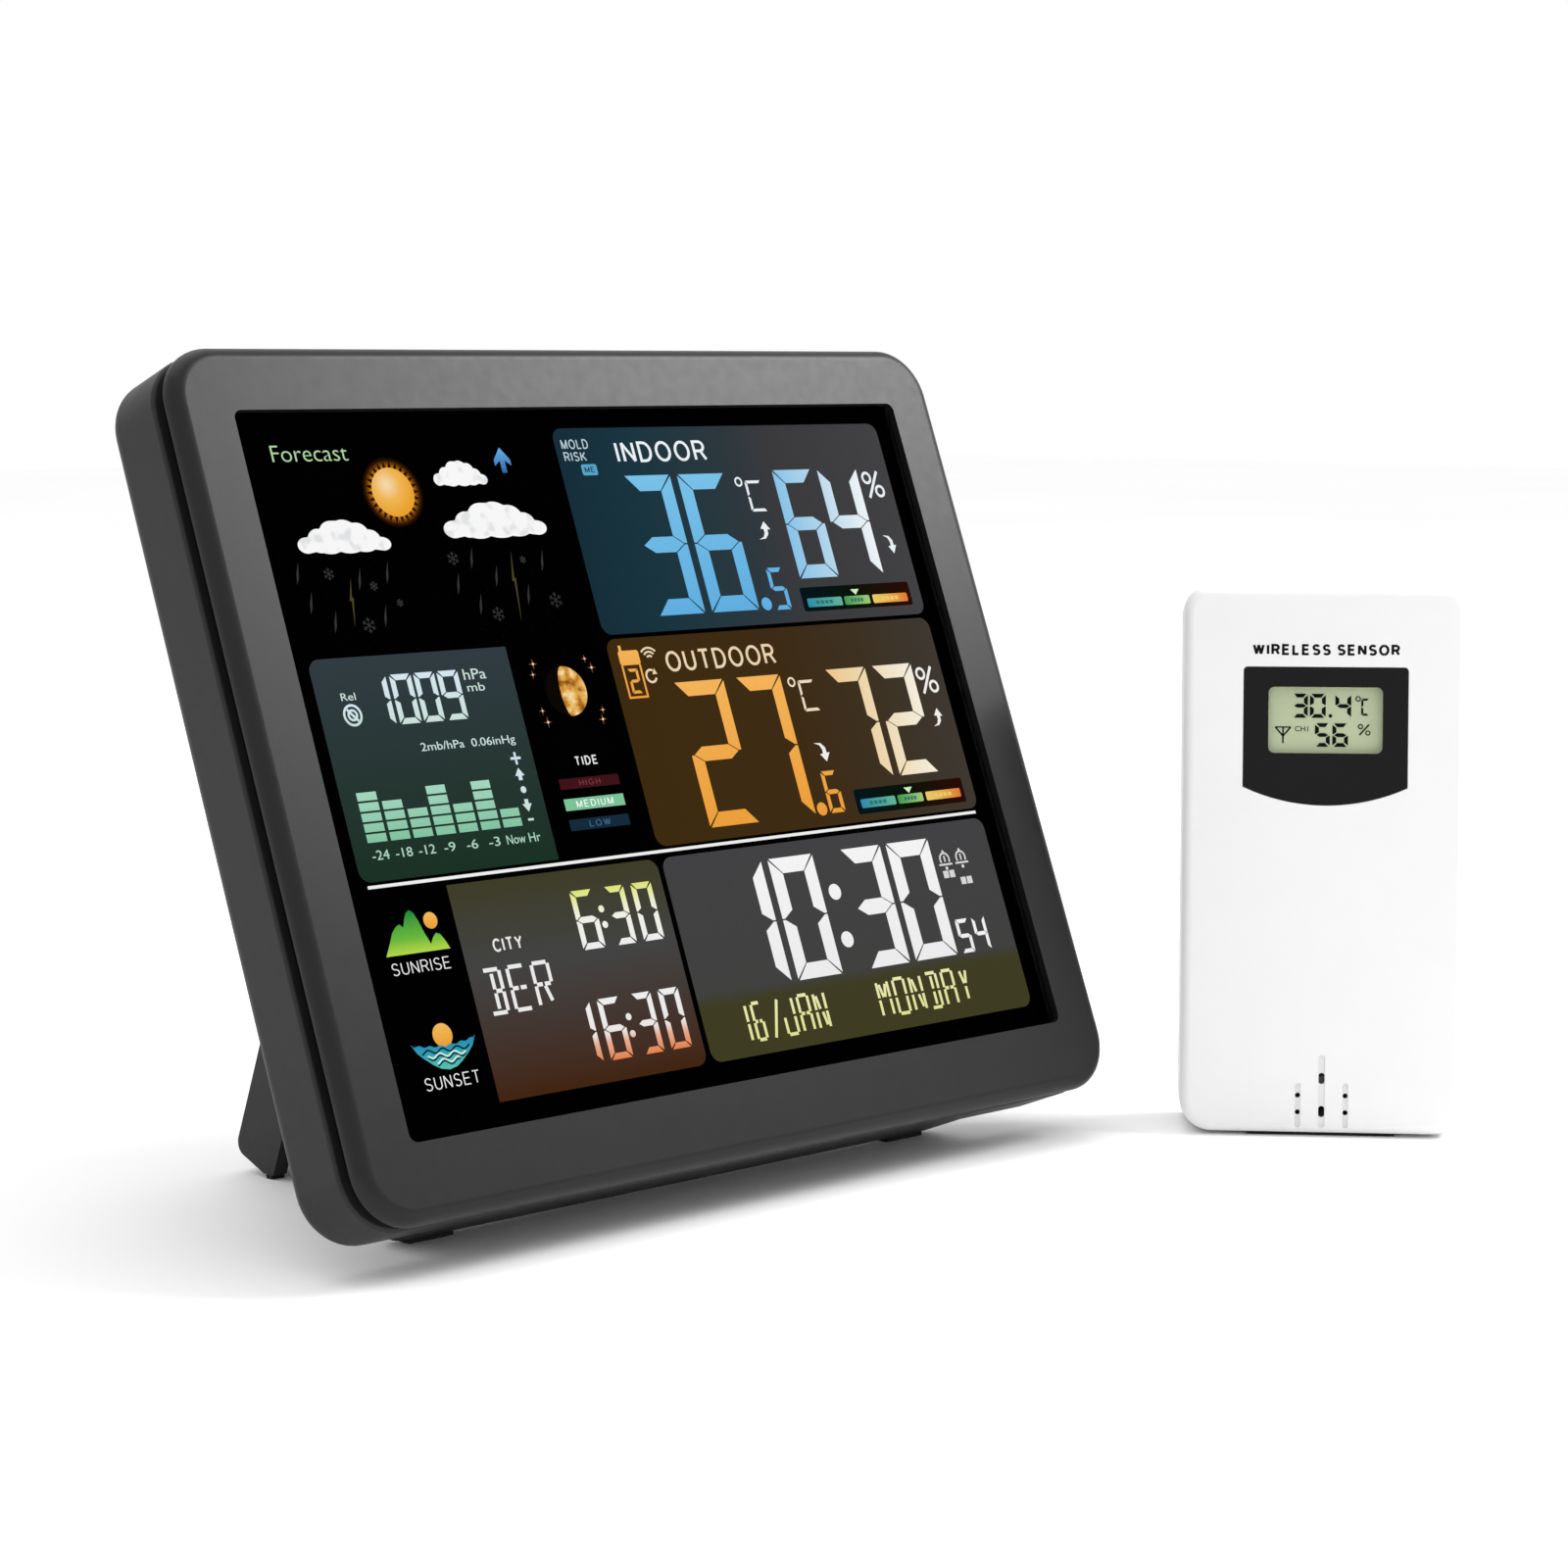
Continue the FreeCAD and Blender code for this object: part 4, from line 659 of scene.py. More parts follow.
def ray_to_ellipse(dx, dy, cx, cy, rx, ry):
    """How far along the ray (dx, dy) from the origin an ellipse's far side is, or 0 if it is missed."""
    a = (dx / rx) ** 2 + (dy / ry) ** 2
    b = -2 * (dx * cx / rx ** 2 + dy * cy / ry ** 2)
    c = (cx / rx) ** 2 + (cy / ry) ** 2 - 1
    inside = b * b - 4 * a * c
    return max(0.0, (-b + math.sqrt(inside)) / (2 * a)) if inside > 0 else 0.0


def snowflake(cx, cy, r):
    """Three crossed bars, each with a pair of twigs near its ends."""
    width = 0.16
    shapes = []
    for i in range(3):
        a = math.radians(60 * i + 30)
        dx, dy = r * math.cos(a), r * math.sin(a)
        shapes.append(stroke(cx - dx, cy - dy, cx + dx, cy + dy, width))
        for sign in (-1, 1):
            for turn in (-1, 1):
                b = a + turn * math.radians(55)
                px, py = cx + sign * dx * 0.6, cy + sign * dy * 0.6
                twig = sign * r * 0.32
                shapes.append(stroke(px, py, px + twig * math.cos(b), py + twig * math.sin(b), width))
    return shapes


def curved_arrow(x0, x1, y0, y1, up):
    """A small bent arrow; up points up and right, otherwise it points down and right."""
    w, h = x1 - x0, y1 - y0
    tail = [(0.0, 1.0), (0.38, 0.86), (0.52, 0.62), (0.50, 0.42), (0.78, 0.42), (0.76, 0.72), (0.50, 0.96)]
    head = [(0.64, 0.0), (1.0, 0.46), (0.28, 0.40)]
    shapes = []
    for outline in (tail, head):
        shapes.append([(x0 + w * x, y0 + h * (y if up else 1 - y)) for x, y in outline])
    return shapes


def degree_c(x0, y0, x1, y1):
    """The small ring, and the thin seven-segment C beside it."""
    ring_r = 0.78
    return ring(x0 + ring_r, y0 + ring_r, ring_r, 0.36) + digit("C", x1 - 4.1, x1, y0 + 0.6, y1, 0.55, 0.1)


def percent(x0, y0, x1, y1):
    w, h = x1 - x0, y1 - y0
    r, line = 0.19 * w, 0.525
    shapes = [stroke(x0 + 0.18 * w, y1, x1 - 0.18 * w, y0, 0.6)]
    shapes += ring(x0 + 0.24 * w, y0 + 0.24 * h, r, line, steps=24)
    return shapes + ring(x1 - 0.24 * w, y1 - 0.24 * h, r, line, steps=24)


def comfort_bar(name, y0, y1, marker_y):
    """The black strip with its cold, right and warm blocks and the marker above them."""
    draw(name + "_strip", [round_rect(119.0, 148.1, y0, y1, 0.5)],
         lit(name + "_strip", [(0.0, "04161c"), (0.5, "0b1408"), (1.0, "2a0c06")], "X"), 1)
    blocks = [("cold", 120.2, 129.3, "2f8fae", "63b89c"), ("right", 130.0, 136.7, "3f9a52", "9fce7c"),
              ("warm", 137.6, 147.0, "f0d26a", "e67a30")]
    low, high = marker_y + 1.3, marker_y + 3.0
    for label, a, b, left, right in blocks:
        draw(f"{name}_{label}", [round_rect(a, b, low, high, 0.3)],
             lit(f"{name}_{label}", [(0.0, left), (1.0, right)], "X"), 2)
        step = (b - a) * 0.13
        start = (a + b) / 2 - 2 * step
        dark = [rect(start + i * step, start + (i + 0.7) * step, low + 0.5, high - 0.5) for i in range(4)]
        tint = left if label == "warm" else "2c7a6a"
        draw(f"{name}_{label}_mark", dark, plain_lit(f"{name}_{label}_mark", tint), 3)
    draw(name + "_marker", [[(132.2, marker_y), (134.4, marker_y), (133.3, marker_y + 1.1)]],
         plain_lit(name + "_marker", "d9f2c8"), 2)


def panels():
    """The tinted areas behind the readings."""
    r = 2.2
    blue = [(0.0, "16303c"), (0.22, "1c3742"), (0.5, "2f3a40"), (0.62, "3c3c3f"), (1.0, "444447")]
    draw("screen_indoor", [round_rect(68.3, 150.9, 3.9, 42.8, r)], lit("indoor_tint", blue, "X"), 0)
    draw("screen_outdoor", [round_rect(68.3, 150.9, 43.6, 81.9, r)],
         lit("outdoor_tint", [(0.0, "3f2c11"), (0.5, "3f2d16"), (0.75, "3f3323"), (1.0, "403a33")], "X"), 0)
    draw("screen_clock", [round_rect(68.3, 150.9, 83.9, 121.1, r)],
         lit("clock_tint", [(0.0, "403f24"), (0.27, "403f26"), (0.33, "434342"), (1.0, "444446")], "Y"), 0)
    draw("screen_city", [round_rect(20.3, 67.1, 83.9, 121.1, r, ("tl", "bl"))],
         lit("city_tint", [(0.0, "442612"), (0.35, "453a35"), (0.6, "454545"), (1.0, "403f29")], "Y"), 0)
    draw("screen_pressure", [round_rect(3.2, 45.5, 43.6, 81.9, r, ("tr", "br"))],
         lit("pressure_tint", [(0.0, "1b3326"), (0.45, "283834"), (1.0, "333e44")], "Y"), 0)
    draw("screen_line", [rect(4.3, 149.7, 82.45, 83.0)], plain_lit("line_white", "f4f4f4"), 1)


def forecast():
    text("forecast_word", "Forecast", 6.1, 21.9, 6.2, 9.1, plain_lit("forecast_green", "b4dca8"), 1,
         swell=-0.012)
    sun = (29.5, 15.0)
    halo = Nodes("sun_glow")
    rays = halo.ramp(halo.centred((-1.0, -1.0, 0), (2.0, 2.0, 0)),
                     [(0.0, "000000"), (0.1, "2a1503"), (0.2, "7a4209"), (0.32, "d08a20")])
    draw("sun_glow", [disc(*sun, 6.4)], halo.glow(rays), 1)
    draw("sun_spikes", [star(*sun, 5.7, 4.1, 26)], plain_lit("sun_spike_dark", "1c0e02"), 2)
    face = Nodes("sun_face")
    shine = face.ramp(face.centred((-0.6, -1.05, 0), (1.6, 1.6, 0)),
                      [(0.0, "f0a52c"), (0.5, "f6bb58"), (1.0, "fbe0b4")])
    draw("sun_disc", [disc(*sun, 4.45)], face.glow(shine), 3)
    puffs = Nodes("cloud_white")
    white = puffs.glow(puffs.ramp(puffs.noise(420.0, 1.0), [(0.30, "e6e8ea"), (0.46, "fdfdfd")]))
    for name, box in (("cloud_small", (38.9, 50.8, 9.6, 14.3)), ("cloud_left", (6.9, 26.3, 19.6, 25.6)),
                      ("cloud_right", (38.4, 61.4, 17.3, 24.0))):
        draw(name, [cloud(*box)], white, 4)
    arrow = [(55.3, 7.3), (57.15, 9.6), (57.15, 10.7), (55.85, 9.7), (55.85, 12.0), (54.75, 12.0),
             (54.75, 9.7), (53.45, 10.7), (53.45, 9.6)]
    draw("forecast_arrow", [arrow], lit("arrow_blue", [(0.0, "2868a4"), (1.0, "6ab0ec")]), 1)
    dim = plain_lit("rain_dim", "343437")
    for side, drops, flakes, bolt in (
            ("left", [(5.4, 28.8), (6.7, 34.0), (10.7, 37.5), (17.8, 30.3), (23.9, 29.4), (21.3, 37.0)],
             [(11.9, 29.0, 1.1), (20.6, 31.5, 0.85), (17.6, 38.3, 1.4), (25.2, 34.7, 0.7)], (15.4, 33.0)),
            ("right", [(42.8, 27.5), (38.5, 32.0), (47.3, 31.0), (42.3, 35.9), (53.4, 34.6), (58.4, 28.6)],
             [(38.9, 27.3, 1.25), (45.8, 37.7, 1.35), (59.4, 35.8, 1.5), (54.3, 28.1, 0.7)], (51.3, 31.0))):
        draw(f"rain_{side}", [[(x + 0.8, y - 2.1), (x + 0.25, y + 0.6), (x - 0.4, y + 1.8), (x - 0.1, y)]
                              for x, y in drops], dim, 1)
        shapes = []
        for x, y, r in flakes:
            shapes += snowflake(x, y, r)
        draw(f"snow_{side}", shapes, dim, 1)
        x, y = bolt
        h = 5.4 if side == "left" else 8.2
        draw(f"bolt_{side}", [[(x + 0.75, y - h * 0.55), (x + 0.05, y + 0.35), (x + 0.42, y + 0.35),
                               (x - 0.75, y + h), (x - 0.1, y + 0.9), (x - 0.55, y + 0.9)]],
             plain_lit(f"bolt_dim_{side}", "4a4528"), 1)


def pressure():
    pale = lit("pressure_pale", [(0.0, "cfe6dd"), (1.0, "dcecf8")])
    boxes = [(13.9, 18.3), (19.1, 23.6), (24.2, 28.6), (29.2, 33.7)]
    draw("pressure_digits", numeral("1009", boxes, 47.1, 55.8, 1.02), pale, 1)
    text("pressure_hpa", "hPa", 34.8, 39.7, 47.1, 49.0, pale, 1)
    text("pressure_mb", "mb", 35.0, 38.8, 49.6, 51.1, pale, 1)
    text("pressure_rel", "Rel", 8.2, 11.2, 49.7, 51.0, pale, 1)
    draw("pressure_dial", ring(9.75, 53.55, 1.72, 0.42) + ring(9.75, 53.55, 0.85, 0.4)
         + [stroke(8.8, 52.5, 10.7, 54.6, 0.45)], pale, 1)
    text("pressure_step", "2mb/hPa  0.06inHg", 22.1, 42.5, 59.3, 61.2, pale, 1)
    bars = []
    for i, count in enumerate((5, 4, 3, 5, 3, 5, 2)):
        x = 6.5 + 4.82 * i
        for k in range(count):
            y = 75.3 - 1.78 * k
            bars.append(rect(x, x + 4.05, y - 1.42, y))
    draw("pressure_bars", bars, lit("bar_green", [(0.0, "86c8a4"), (1.0, "a8dcc4")]), 1)
    small = plain_lit("pressure_small", "b4dcc8")
    for i, label in enumerate(("-24", "-18", "-12", "-9", "-6", "-3")):
        x = 8.5 + 4.82 * i
        half = 1.75 if i < 3 else 1.2
        text(f"hour_{i + 1}", label, x - half, x + half, 76.7, 78.3, small, 1)
    text("hour_now", "Now", 35.3, 39.4, 76.7, 78.3, small, 1)
    text("hour_unit", "Hr", 40.2, 42.7, 76.7, 78.3, small, 1)
    up = [(41.6, 65.2), (42.6, 66.6), (42.0, 66.6), (42.0, 67.4), (41.2, 67.4), (41.2, 66.6), (40.6, 66.6)]
    marks = [rect(40.5, 42.7, 63.25, 63.7), rect(41.38, 41.82, 62.4, 63.2), rect(41.38, 41.82, 63.75, 64.6),
             up, disc(41.6, 69.1, 0.6), rect(41.0, 42.2, 74.2, 74.6), [(x, 138.2 - y) for x, y in up]]
    draw("pressure_marks", marks, pale, 1)


def moon_and_tide():
    moon = Nodes("moon_face")
    spots = moon.ramp(moon.noise(480.0, 6.0),
                      [(0.34, "8a5212"), (0.44, "cc8c34"), (0.56, "eebc68"), (0.68, "fbe6b4")])
    cx, cy, r = 56.6, 52.4, 4.55
    edge = [(cx - 1.35 * math.cos(math.radians(a)), cy + r * math.sin(math.radians(a)))
            for a in range(80, -90, -10)]
    draw("moon_lit", [arc_points(cx, cy, r, -90, 90, 24) + edge], moon.glow(spots), 1)
    draw("moon_dark", [disc(cx, cy, r)], plain_lit("moon_shadow", "0c0803"), 0)
    sparkles, glints = [], []
    for x, y, big in ((50.6, 47.1, 1), (50.0, 49.0, 0), (62.5, 46.8, 0), (63.6, 48.5, 1), (50.1, 55.6, 0),
                      (50.7, 57.7, 1), (63.7, 56.3, 0), (63.2, 58.0, 1)):
        reach = 1.0 if big else 0.75
        sparkles.append(star(x, y, reach, 0.16, 4))
        glints.append(disc(x, y, 0.22 if big else 0.17, steps=12))
    draw("sparkle_rays", sparkles, plain_lit("sparkle_warm", "9a5f34"), 1)
    draw("sparkle_cores", glints, plain_lit("sparkle_core", "f6e6cc"), 2)
    white = plain_lit("label_white", "f2f2f2")
    caption("tide_word", "TIDE", 54.5, 59.6, 64.2, 65.9, white, 1, weight=0.17, space=0.3)
    for name, y0, y1, tint, letters in (("high", 68.0, 69.9, "40141a", "7c3a40"),
                                        ("medium", 71.6, 73.7, "7fc79b", "f4fff8"),
                                        ("low", 75.3, 77.3, "162c3e", "3d6a8c")):
        draw(f"tide_{name}", [rect(49.8, 63.4, y0, y1)], plain_lit(f"tide_{name}", tint), 1)
        half = 4.2 if name == "medium" else 2.4
        caption(f"tide_{name}_word", name.upper(), 56.6 - half, 56.6 + half, y0 + 0.4, y1 - 0.4,
                plain_lit(f"tide_{name}_word", letters), 2, weight=0.14, space=0.34)


def sunrise_and_city():
    white = plain_lit("caption_white", "f0f0f0")
    hills = [(4.6, 94.5), (5.8, 92.6), (6.9, 90.7), (7.8, 89.8), (8.7, 89.4), (9.4, 90.0), (10.0, 88.6),
             (10.6, 87.6), (11.3, 87.25), (12.0, 87.7), (12.7, 89.2), (13.3, 91.2), (13.9, 92.6),
             (14.2, 93.4), (14.9, 92.3), (15.7, 91.6), (16.5, 91.9), (17.2, 93.0), (17.9, 94.5)]
    draw("sunrise_hills", [hills], lit("hill_green", [(0.0, "b6dc4a"), (0.35, "6cbc40"), (1.0, "148a3c")]), 2)
    gold = lit("small_sun", [(0.0, "f0a030"), (1.0, "f8c060")])
    draw("sunrise_sun", [disc(15.25, 89.4, 1.42)], gold, 1)
    draw("sunset_sun", [disc(12.0, 108.55, 2.0)], gold, 1)
    bowl = [(5.1, 109.3)]
    for i in range(1, 28):
        dip, ripple = 0.7 * math.sin(math.pi * i / 28), 0.16 * math.sin(1.4 * i)
        bowl.append((5.1 + 13.4 * i / 28, 109.6 + dip + ripple))
    bowl += [(18.5, 109.3), (17.6, 110.9), (16.4, 112.0), (14.8, 113.2), (13.4, 114.0), (11.8, 114.3),
             (10.2, 114.0), (8.8, 113.2), (7.2, 112.0), (6.0, 110.9)]
    draw("sunset_water", [bowl], lit("water_teal", [(0.0, "5cc8b4"), (0.5, "3aa6b8"), (1.0, "2a86b4")]), 2)
    dark, pale = [], []
    for y, x_low, x_high, phase in ((111.0, 6.9, 16.9, 0.0), (112.1, 8.0, 15.8, 1.6),
                                    (113.1, 9.6, 14.4, 0.4)):
        line = []
        for i in range(25):
            x = x_low + (x_high - x_low) * i / 24
            line.append((x, y + 0.34 * math.sin(2.1 * x + phase)))
        dark.append(ribbon(line, 0.3))
        if y > 111.5:
            pale.append(ribbon([(x, y - 0.36) for x, y in line], 0.34))
    draw("sunset_waves", dark, plain_lit("wave_dark", "062a34"), 3)
    draw("sunset_foam", pale, plain_lit("wave_pale", "c8f0e4"), 3)
    caption("sunrise_word", "SUNRISE", 5.1, 17.2, 95.7, 97.8, white, 1, weight=0.09)
    caption("sunset_word", "SUNSET", 6.1, 17.5, 115.1, 117.3, white, 1, weight=0.09)
    caption("city_word", "CITY", 26.8, 33.2, 93.9, 96.3, white, 1, weight=0.18)
    draw("city_letters", word("BER", 22.9, 37.6, 98.7, 106.8, 0.7, 1.1), white, 1)
    boxes = [(39.6, 44.2), (45.9, 50.9), (53.6, 58.1), (59.8, 64.5)]
    draw("sunrise_time", numeral("630", boxes[1:], 87.7, 98.1, 1.1)
         + [disc(52.0, 91.4, 0.62), disc(52.0, 94.2, 0.62)],
         lit("sunrise_ink", [(0.0, "f4f4f4"), (0.55, "f6f6ea"), (0.85, "ecf0a0"), (1.0, "e0e878")]), 1)
    draw("sunset_time", numeral("1630", boxes, 106.8, 117.5, 1.1)
         + [disc(52.0, 110.6, 0.62), disc(52.0, 113.6, 0.62)],
         lit("sunset_ink", [(0.0, "e8844a"), (0.28, "ecb094"), (0.45, "f2ece8"), (1.0, "f4f4f4")]), 1)


def indoor():
    pale = plain_lit("indoor_pale", "bcd4dc")
    white = plain_lit("indoor_white", "f0f6fa")
    caption("mold_word", "MOLD", 69.8, 76.1, 6.0, 7.9, pale, 1)
    caption("risk_word", "RISK", 69.8, 75.0, 8.4, 10.2, pale, 1)
    draw("mold_badge", [round_rect(73.2, 76.8, 10.8, 12.9, 0.4)], plain_lit("badge_blue", "5aa8cc"), 1)
    caption("mold_badge_word", "ME", 73.8, 76.2, 11.3, 12.4, plain_lit("badge_dark", "1a4052"), 2)
    caption("indoor_word", "INDOOR", 82.3, 104.4, 6.6, 10.7, white, 1)
    blue = lit("indoor_blue", [(0.0, "62b2e6"), (1.0, "7cc6ee")])
    draw("indoor_temperature", numeral("36", [(82.6, 93.9), (95.7, 107.5)], 13.2, 39.9, 3.0)
         + [disc(109.7, 38.9, 1.25)] + numeral("5", [(111.8, 115.8)], 32.0, 40.2, 0.85), blue, 1)
    draw("indoor_degrees", degree_c(109.9, 14.2, 116.3, 20.9), white, 1)
    humid = lit("indoor_humidity", [(0.0, "8cc8ee"), (0.45, "b8dcf2"), (1.0, "f4fafc")], "X")
    draw("indoor_humidity", numeral("64", [(120.0, 130.2), (131.9, 142.3)], 12.9, 34.4, 2.6), humid, 1)
    draw("indoor_percent", percent(143.3, 13.7, 148.7, 19.0), white, 1)
    draw("indoor_trends", curved_arrow(112.2, 115.6, 22.9, 26.4, True)
         + curved_arrow(144.8, 147.8, 26.7, 30.4, False), white, 1)
    comfort_bar("indoor_comfort", 36.2, 40.9, 37.1)


def outdoor():
    cream = plain_lit("outdoor_cream", "f2d8b4")
    amber = lit("outdoor_amber", [(0.0, "f2a23a"), (1.0, "fab85c")])
    sensor = [round_rect(70.5, 75.3, 45.9, 48.6, 0.5), rect(70.9, 71.5, 44.9, 45.9)]
    sensor += pen([(70.8, 48.6), (70.8, 54.6), (75.0, 54.6), (75.0, 48.6)], 0.4)
    draw("outdoor_sensor_icon", sensor + digit("2", 71.7, 74.1, 49.3, 53.9, 0.55, 0.06), amber, 1)
    waves = []
    for r in (0.75, 1.5, 2.25):
        waves += ring(77.7, 47.9, r, 0.36, 222, 318, 10)
    loop = ring(77.0, 50.9, 1.15, 0.42, 20, 300, 20) + [[(78.5, 50.6), (77.4, 50.6), (78.0, 49.5)]]
    draw("outdoor_signal", waves + loop, cream, 1)
    caption("outdoor_word", "OUTDOOR", 81.3, 108.3, 46.5, 50.5, cream, 1)
    draw("outdoor_temperature", numeral("27", [(81.7, 93.9), (97.0, 108.1)], 52.5, 79.6, 2.7)
         + [disc(110.0, 78.6, 1.25)] + numeral("6", [(111.9, 115.8)], 71.6, 79.6, 0.85), amber, 1)
    draw("outdoor_degrees", degree_c(109.9, 53.4, 116.3, 60.0), plain_lit("outdoor_degrees", "f4e2c4"), 1)
    humid = lit("outdoor_humidity", [(0.0, "f4cc90"), (0.45, "f4deb4"), (1.0, "fbf4e2")], "X")
    draw("outdoor_humidity", numeral("72", [(119.9, 130.5), (132.3, 142.9)], 52.4, 74.0, 2.6), humid, 1)
    white = plain_lit("outdoor_white", "f6f4ee")
    draw("outdoor_percent", percent(143.6, 53.4, 149.0, 58.6), white, 1)
    draw("outdoor_trends", curved_arrow(112.2, 115.6, 66.1, 69.8, False)
         + curved_arrow(144.8, 147.8, 61.7, 65.2, True), white, 1)
    comfort_bar("outdoor_comfort", 75.7, 80.5, 76.4)


def clock():
    white = lit("clock_white", [(0.0, "f2f2f2"), (1.0, "fafafa")])
    boxes = [(80.3, 91.5), (93.2, 104.4), (111.6, 122.0), (123.6, 134.8)]
    draw("clock_time", numeral("1030", boxes, 86.6, 109.2, 2.9)
         + [disc(107.7, 94.2, 1.5), disc(107.7, 103.2, 1.5)], white, 1)
    draw("clock_seconds", digit("5", 136.3, 139.7, 102.7, 109.2, 0.75, 0.08)
         + digit("4", 140.8, 144.2, 102.7, 109.2, 0.75, 0.08), white, 1)
    bells = []
    for x in (138.0, 142.4):
        bells += ring(x, 91.0, 1.2, 0.36, 150, 390, 20)
        bells += [stroke(x - 1.75, 92.0, x + 1.75, 92.0, 0.36), disc(x, 92.75, 0.35), disc(x, 89.5, 0.28),
                  rect(x - 0.18, x + 0.18, 90.3, 91.5)]
    for x, y in ((138.2, 93.9), (142.4, 95.5)):
        bells += [rect(x - 1.5, x - 0.15, y - 0.7, y + 0.7), rect(x + 0.15, x + 1.5, y - 0.7, y + 0.7)]
    draw("clock_alarms", bells, plain_lit("alarm_white", "dcdcdc"), 1)
    yellow = lit("date_yellow", [(0.0, "e6e898"), (1.0, "f0f0b4")])
    date = word("16", 76.4, 82.6, 111.6, 118.8, 0.6, 0.9)
    date += [stroke(84.4, 118.6, 86.6, 111.9, 0.6)] + word("JAN", 87.3, 98.4, 111.6, 118.8, 0.6, 0.9)
    draw("clock_date", date, yellow, 1)
    draw("clock_day", word("MONDAY", 111.5, 136.3, 111.5, 118.6, 0.6, 0.95), yellow, 1)


# ---- the outdoor sensor's face, and the marks on the console's back ----
def sensor_marks():
    """The printed words and the LCD's readings, on sheets whose y is up."""
    caption("sensor_word", "WIRELESS SENSOR", -13.9, 13.9, 91.8, 94.1, ink("sensor_print", "0a0a0a", 0.6), 0,
            weight=0.27, space=0.2, sheet=SENSOR_FACE, body="sensor", slot="panel_black", flip=1)
    dark = ink("sensor_segments", "060705", 0.6)
    settings = {"sheet": SENSOR_LCD, "body": "sensor", "flip": 1, "slot": "lcd_grey"}

    def up(shapes, y0, y1):
        return [[(x, y0 + y1 - y) for x, y in outline] for outline in shapes]

    upper = up(numeral("304", [(-6.2, -3.3), (-2.9, 0.1), (1.9, 4.9)], 80.0, 84.6, 0.74), 80.0, 84.6)
    upper += [disc(1.0, 80.4, 0.36, steps=16)] + ring(6.2, 83.7, 0.42, 0.22, steps=16)
    upper += up(digit("C", 6.8, 8.3, 80.5, 83.75, 0.4, 0.05), 80.5, 83.75)
    lower = up(numeral("56", [(-1.9, 0.9), (1.4, 4.35)], 74.5, 79.0, 0.74), 74.5, 79.0)
    lower += [stroke(6.5, 76.8, 8.3, 78.8, 0.3)] + ring(6.7, 78.4, 0.4, 0.22, steps=14)
    lower += ring(8.1, 77.2, 0.4, 0.22, steps=14)
    lower += [stroke(-7.95, 75.1, -7.95, 78.2, 0.3), stroke(-9.4, 78.2, -7.95, 76.5, 0.3),
              stroke(-6.5, 78.2, -7.95, 76.5, 0.3), stroke(-9.4, 78.2, -6.5, 78.2, 0.24)]
    draw("sensor_readings", upper + lower, dark, 0, **settings)
    text("sensor_channel", "CH1", -5.7, -3.2, 77.4, 78.4, dark, 0, **settings)


def back_marks():
    """Small pad-printed names over the keys and the inlet, as such backs have."""
    pale = ink("back_print", "b8b8ba")
    settings = {"sheet": CONSOLE_BACK, "slot": "charcoal_back", "flip": 1}
    for i, label in enumerate(("SET", "+", "-", "CH", "ALARM", "LIGHT")):
        z = KEY_Z + KEY_PITCH * i + KEY_LABEL_RISE
        half = {1: 0.9, 2: 1.5, 3: 3.0, 5: 3.8}[len(label)]
        tall = 0.25 if label == "-" else 0.9
        text(f"key_label_{i + 1}", label, KEY_X - half, KEY_X + half, z - tall, z + tall, pale, 0, **settings)
    text("inlet_label", "DC 5V", INLET_X - 3.6, INLET_X + 3.6, 20.4, 22.2, pale, 0, **settings)


# ---- studio ----
FLOOR_HALF = 4000.0
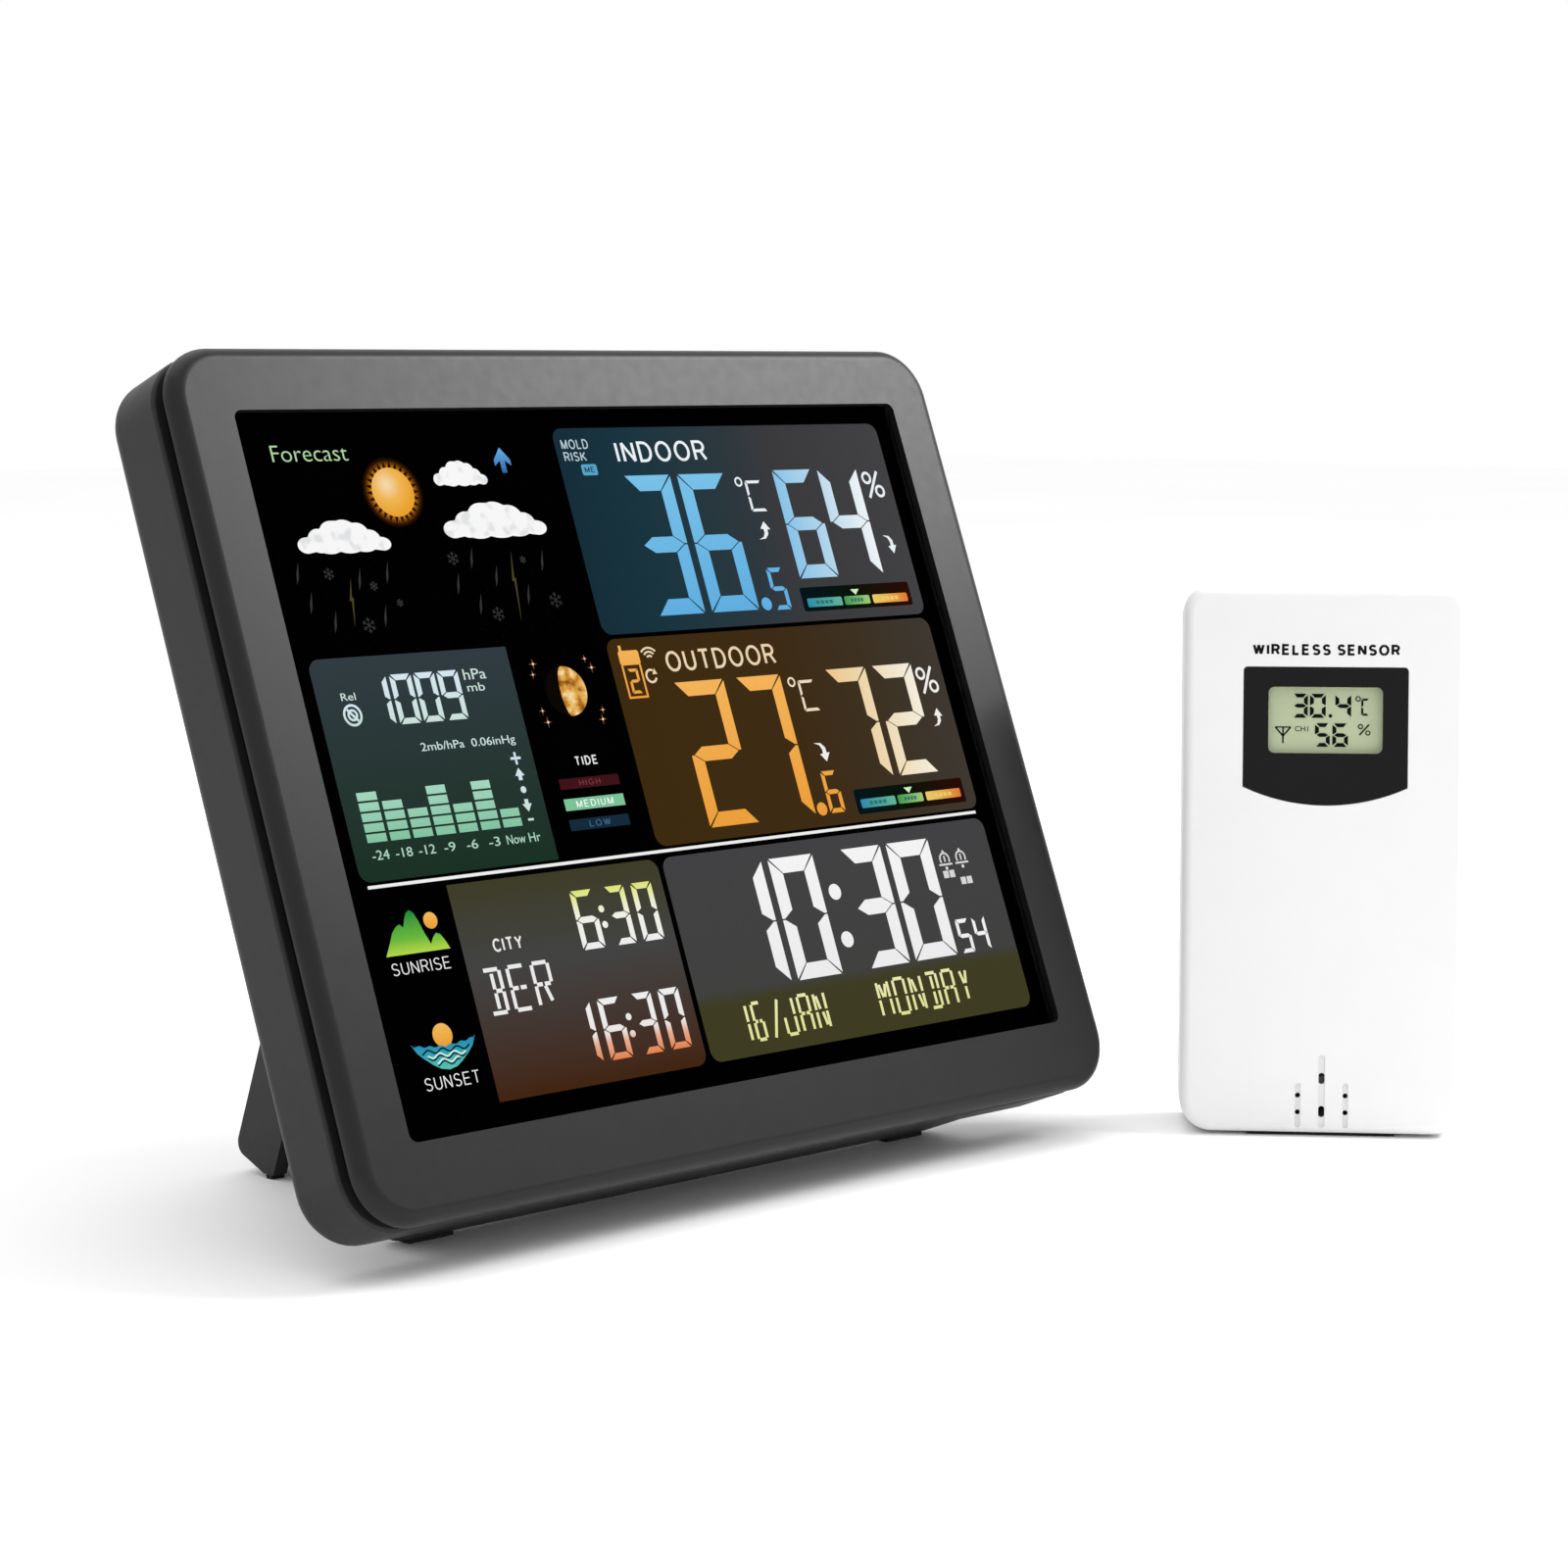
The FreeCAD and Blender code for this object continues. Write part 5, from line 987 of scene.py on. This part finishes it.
# name, place, aim, size and power in watts
LIGHTS = (("key_light", (600, -400, 660), (0, 0, 100), 420, 7.0),
          ("top_light", (0, 400, 1500), (0, 0, 0), 1400, 6.0))
CAMERA_OFFSET = (-427.0, -441.1, 135.0)         # from the origin of the console's upright frame
CAMERA_TILT, CAMERA_TURN = 83.4, -44.1          # degrees
CAMERA_LENS, CAMERA_SENSOR = 82.6, 36.0
CAMERA_CLIP = (50.0, 20000.0)


def studio():
    """A plain pale floor, even white surroundings and two soft lamps."""
    floor_mesh = bpy.data.meshes.new("studio_floor")
    bm = bmesh.new()
    bmesh.ops.create_grid(bm, x_segments=1, y_segments=1, size=FLOOR_HALF * MM)
    bm.to_mesh(floor_mesh)
    bm.free()
    floor = bpy.data.objects.new("studio_floor", floor_mesh)
    bpy.context.scene.collection.objects.link(floor)
    m = Nodes("studio_white")
    m.link(m.ramp(m.noise(3.0), [(0.3, (0.97, 0.97, 0.97, 1)), (0.7, (0.99, 0.99, 0.99, 1))]),
           m.shader.inputs["Base Color"])
    m.set(Roughness=0.9, Specular_IOR_Level=0.1)
    floor_mesh.materials.append(m.material)

    world = bpy.data.worlds.new("studio")
    world.use_nodes = True
    background = world.node_tree.nodes["Background"]
    background.inputs["Color"].default_value = (1, 1, 1, 1)
    background.inputs["Strength"].default_value = 1.0
    bpy.context.scene.world = world

    for name, place, aim, size, power in LIGHTS:
        data = bpy.data.lights.new(name, "AREA")
        data.size = size * MM
        data.energy = power
        lamp = bpy.data.objects.new(name, data)
        bpy.context.scene.collection.objects.link(lamp)
        lamp.location = Vector(place) * MM
        lamp.rotation_euler = (Vector(aim) - Vector(place)).to_track_quat("-Z", "Y").to_euler()
    bpy.context.scene.view_settings.view_transform = "Standard"


def camera():
    data = bpy.data.cameras.new("camera")
    data.lens, data.sensor_width = CAMERA_LENS, CAMERA_SENSOR
    data.clip_start, data.clip_end = (distance * MM for distance in CAMERA_CLIP)
    holder = bpy.data.objects.new("camera", data)
    bpy.context.scene.collection.objects.link(holder)
    holder.location = CONSOLE.translation + Vector(CAMERA_OFFSET) * MM
    holder.rotation_euler = (math.radians(CAMERA_TILT), 0, math.radians(CAMERA_TURN))
    bpy.context.scene.camera = holder


camera()
studio()
dress_nodes()
panels()
forecast()
pressure()
moon_and_tide()
sunrise_and_city()
indoor()
outdoor()
clock()
sensor_marks()
back_marks()
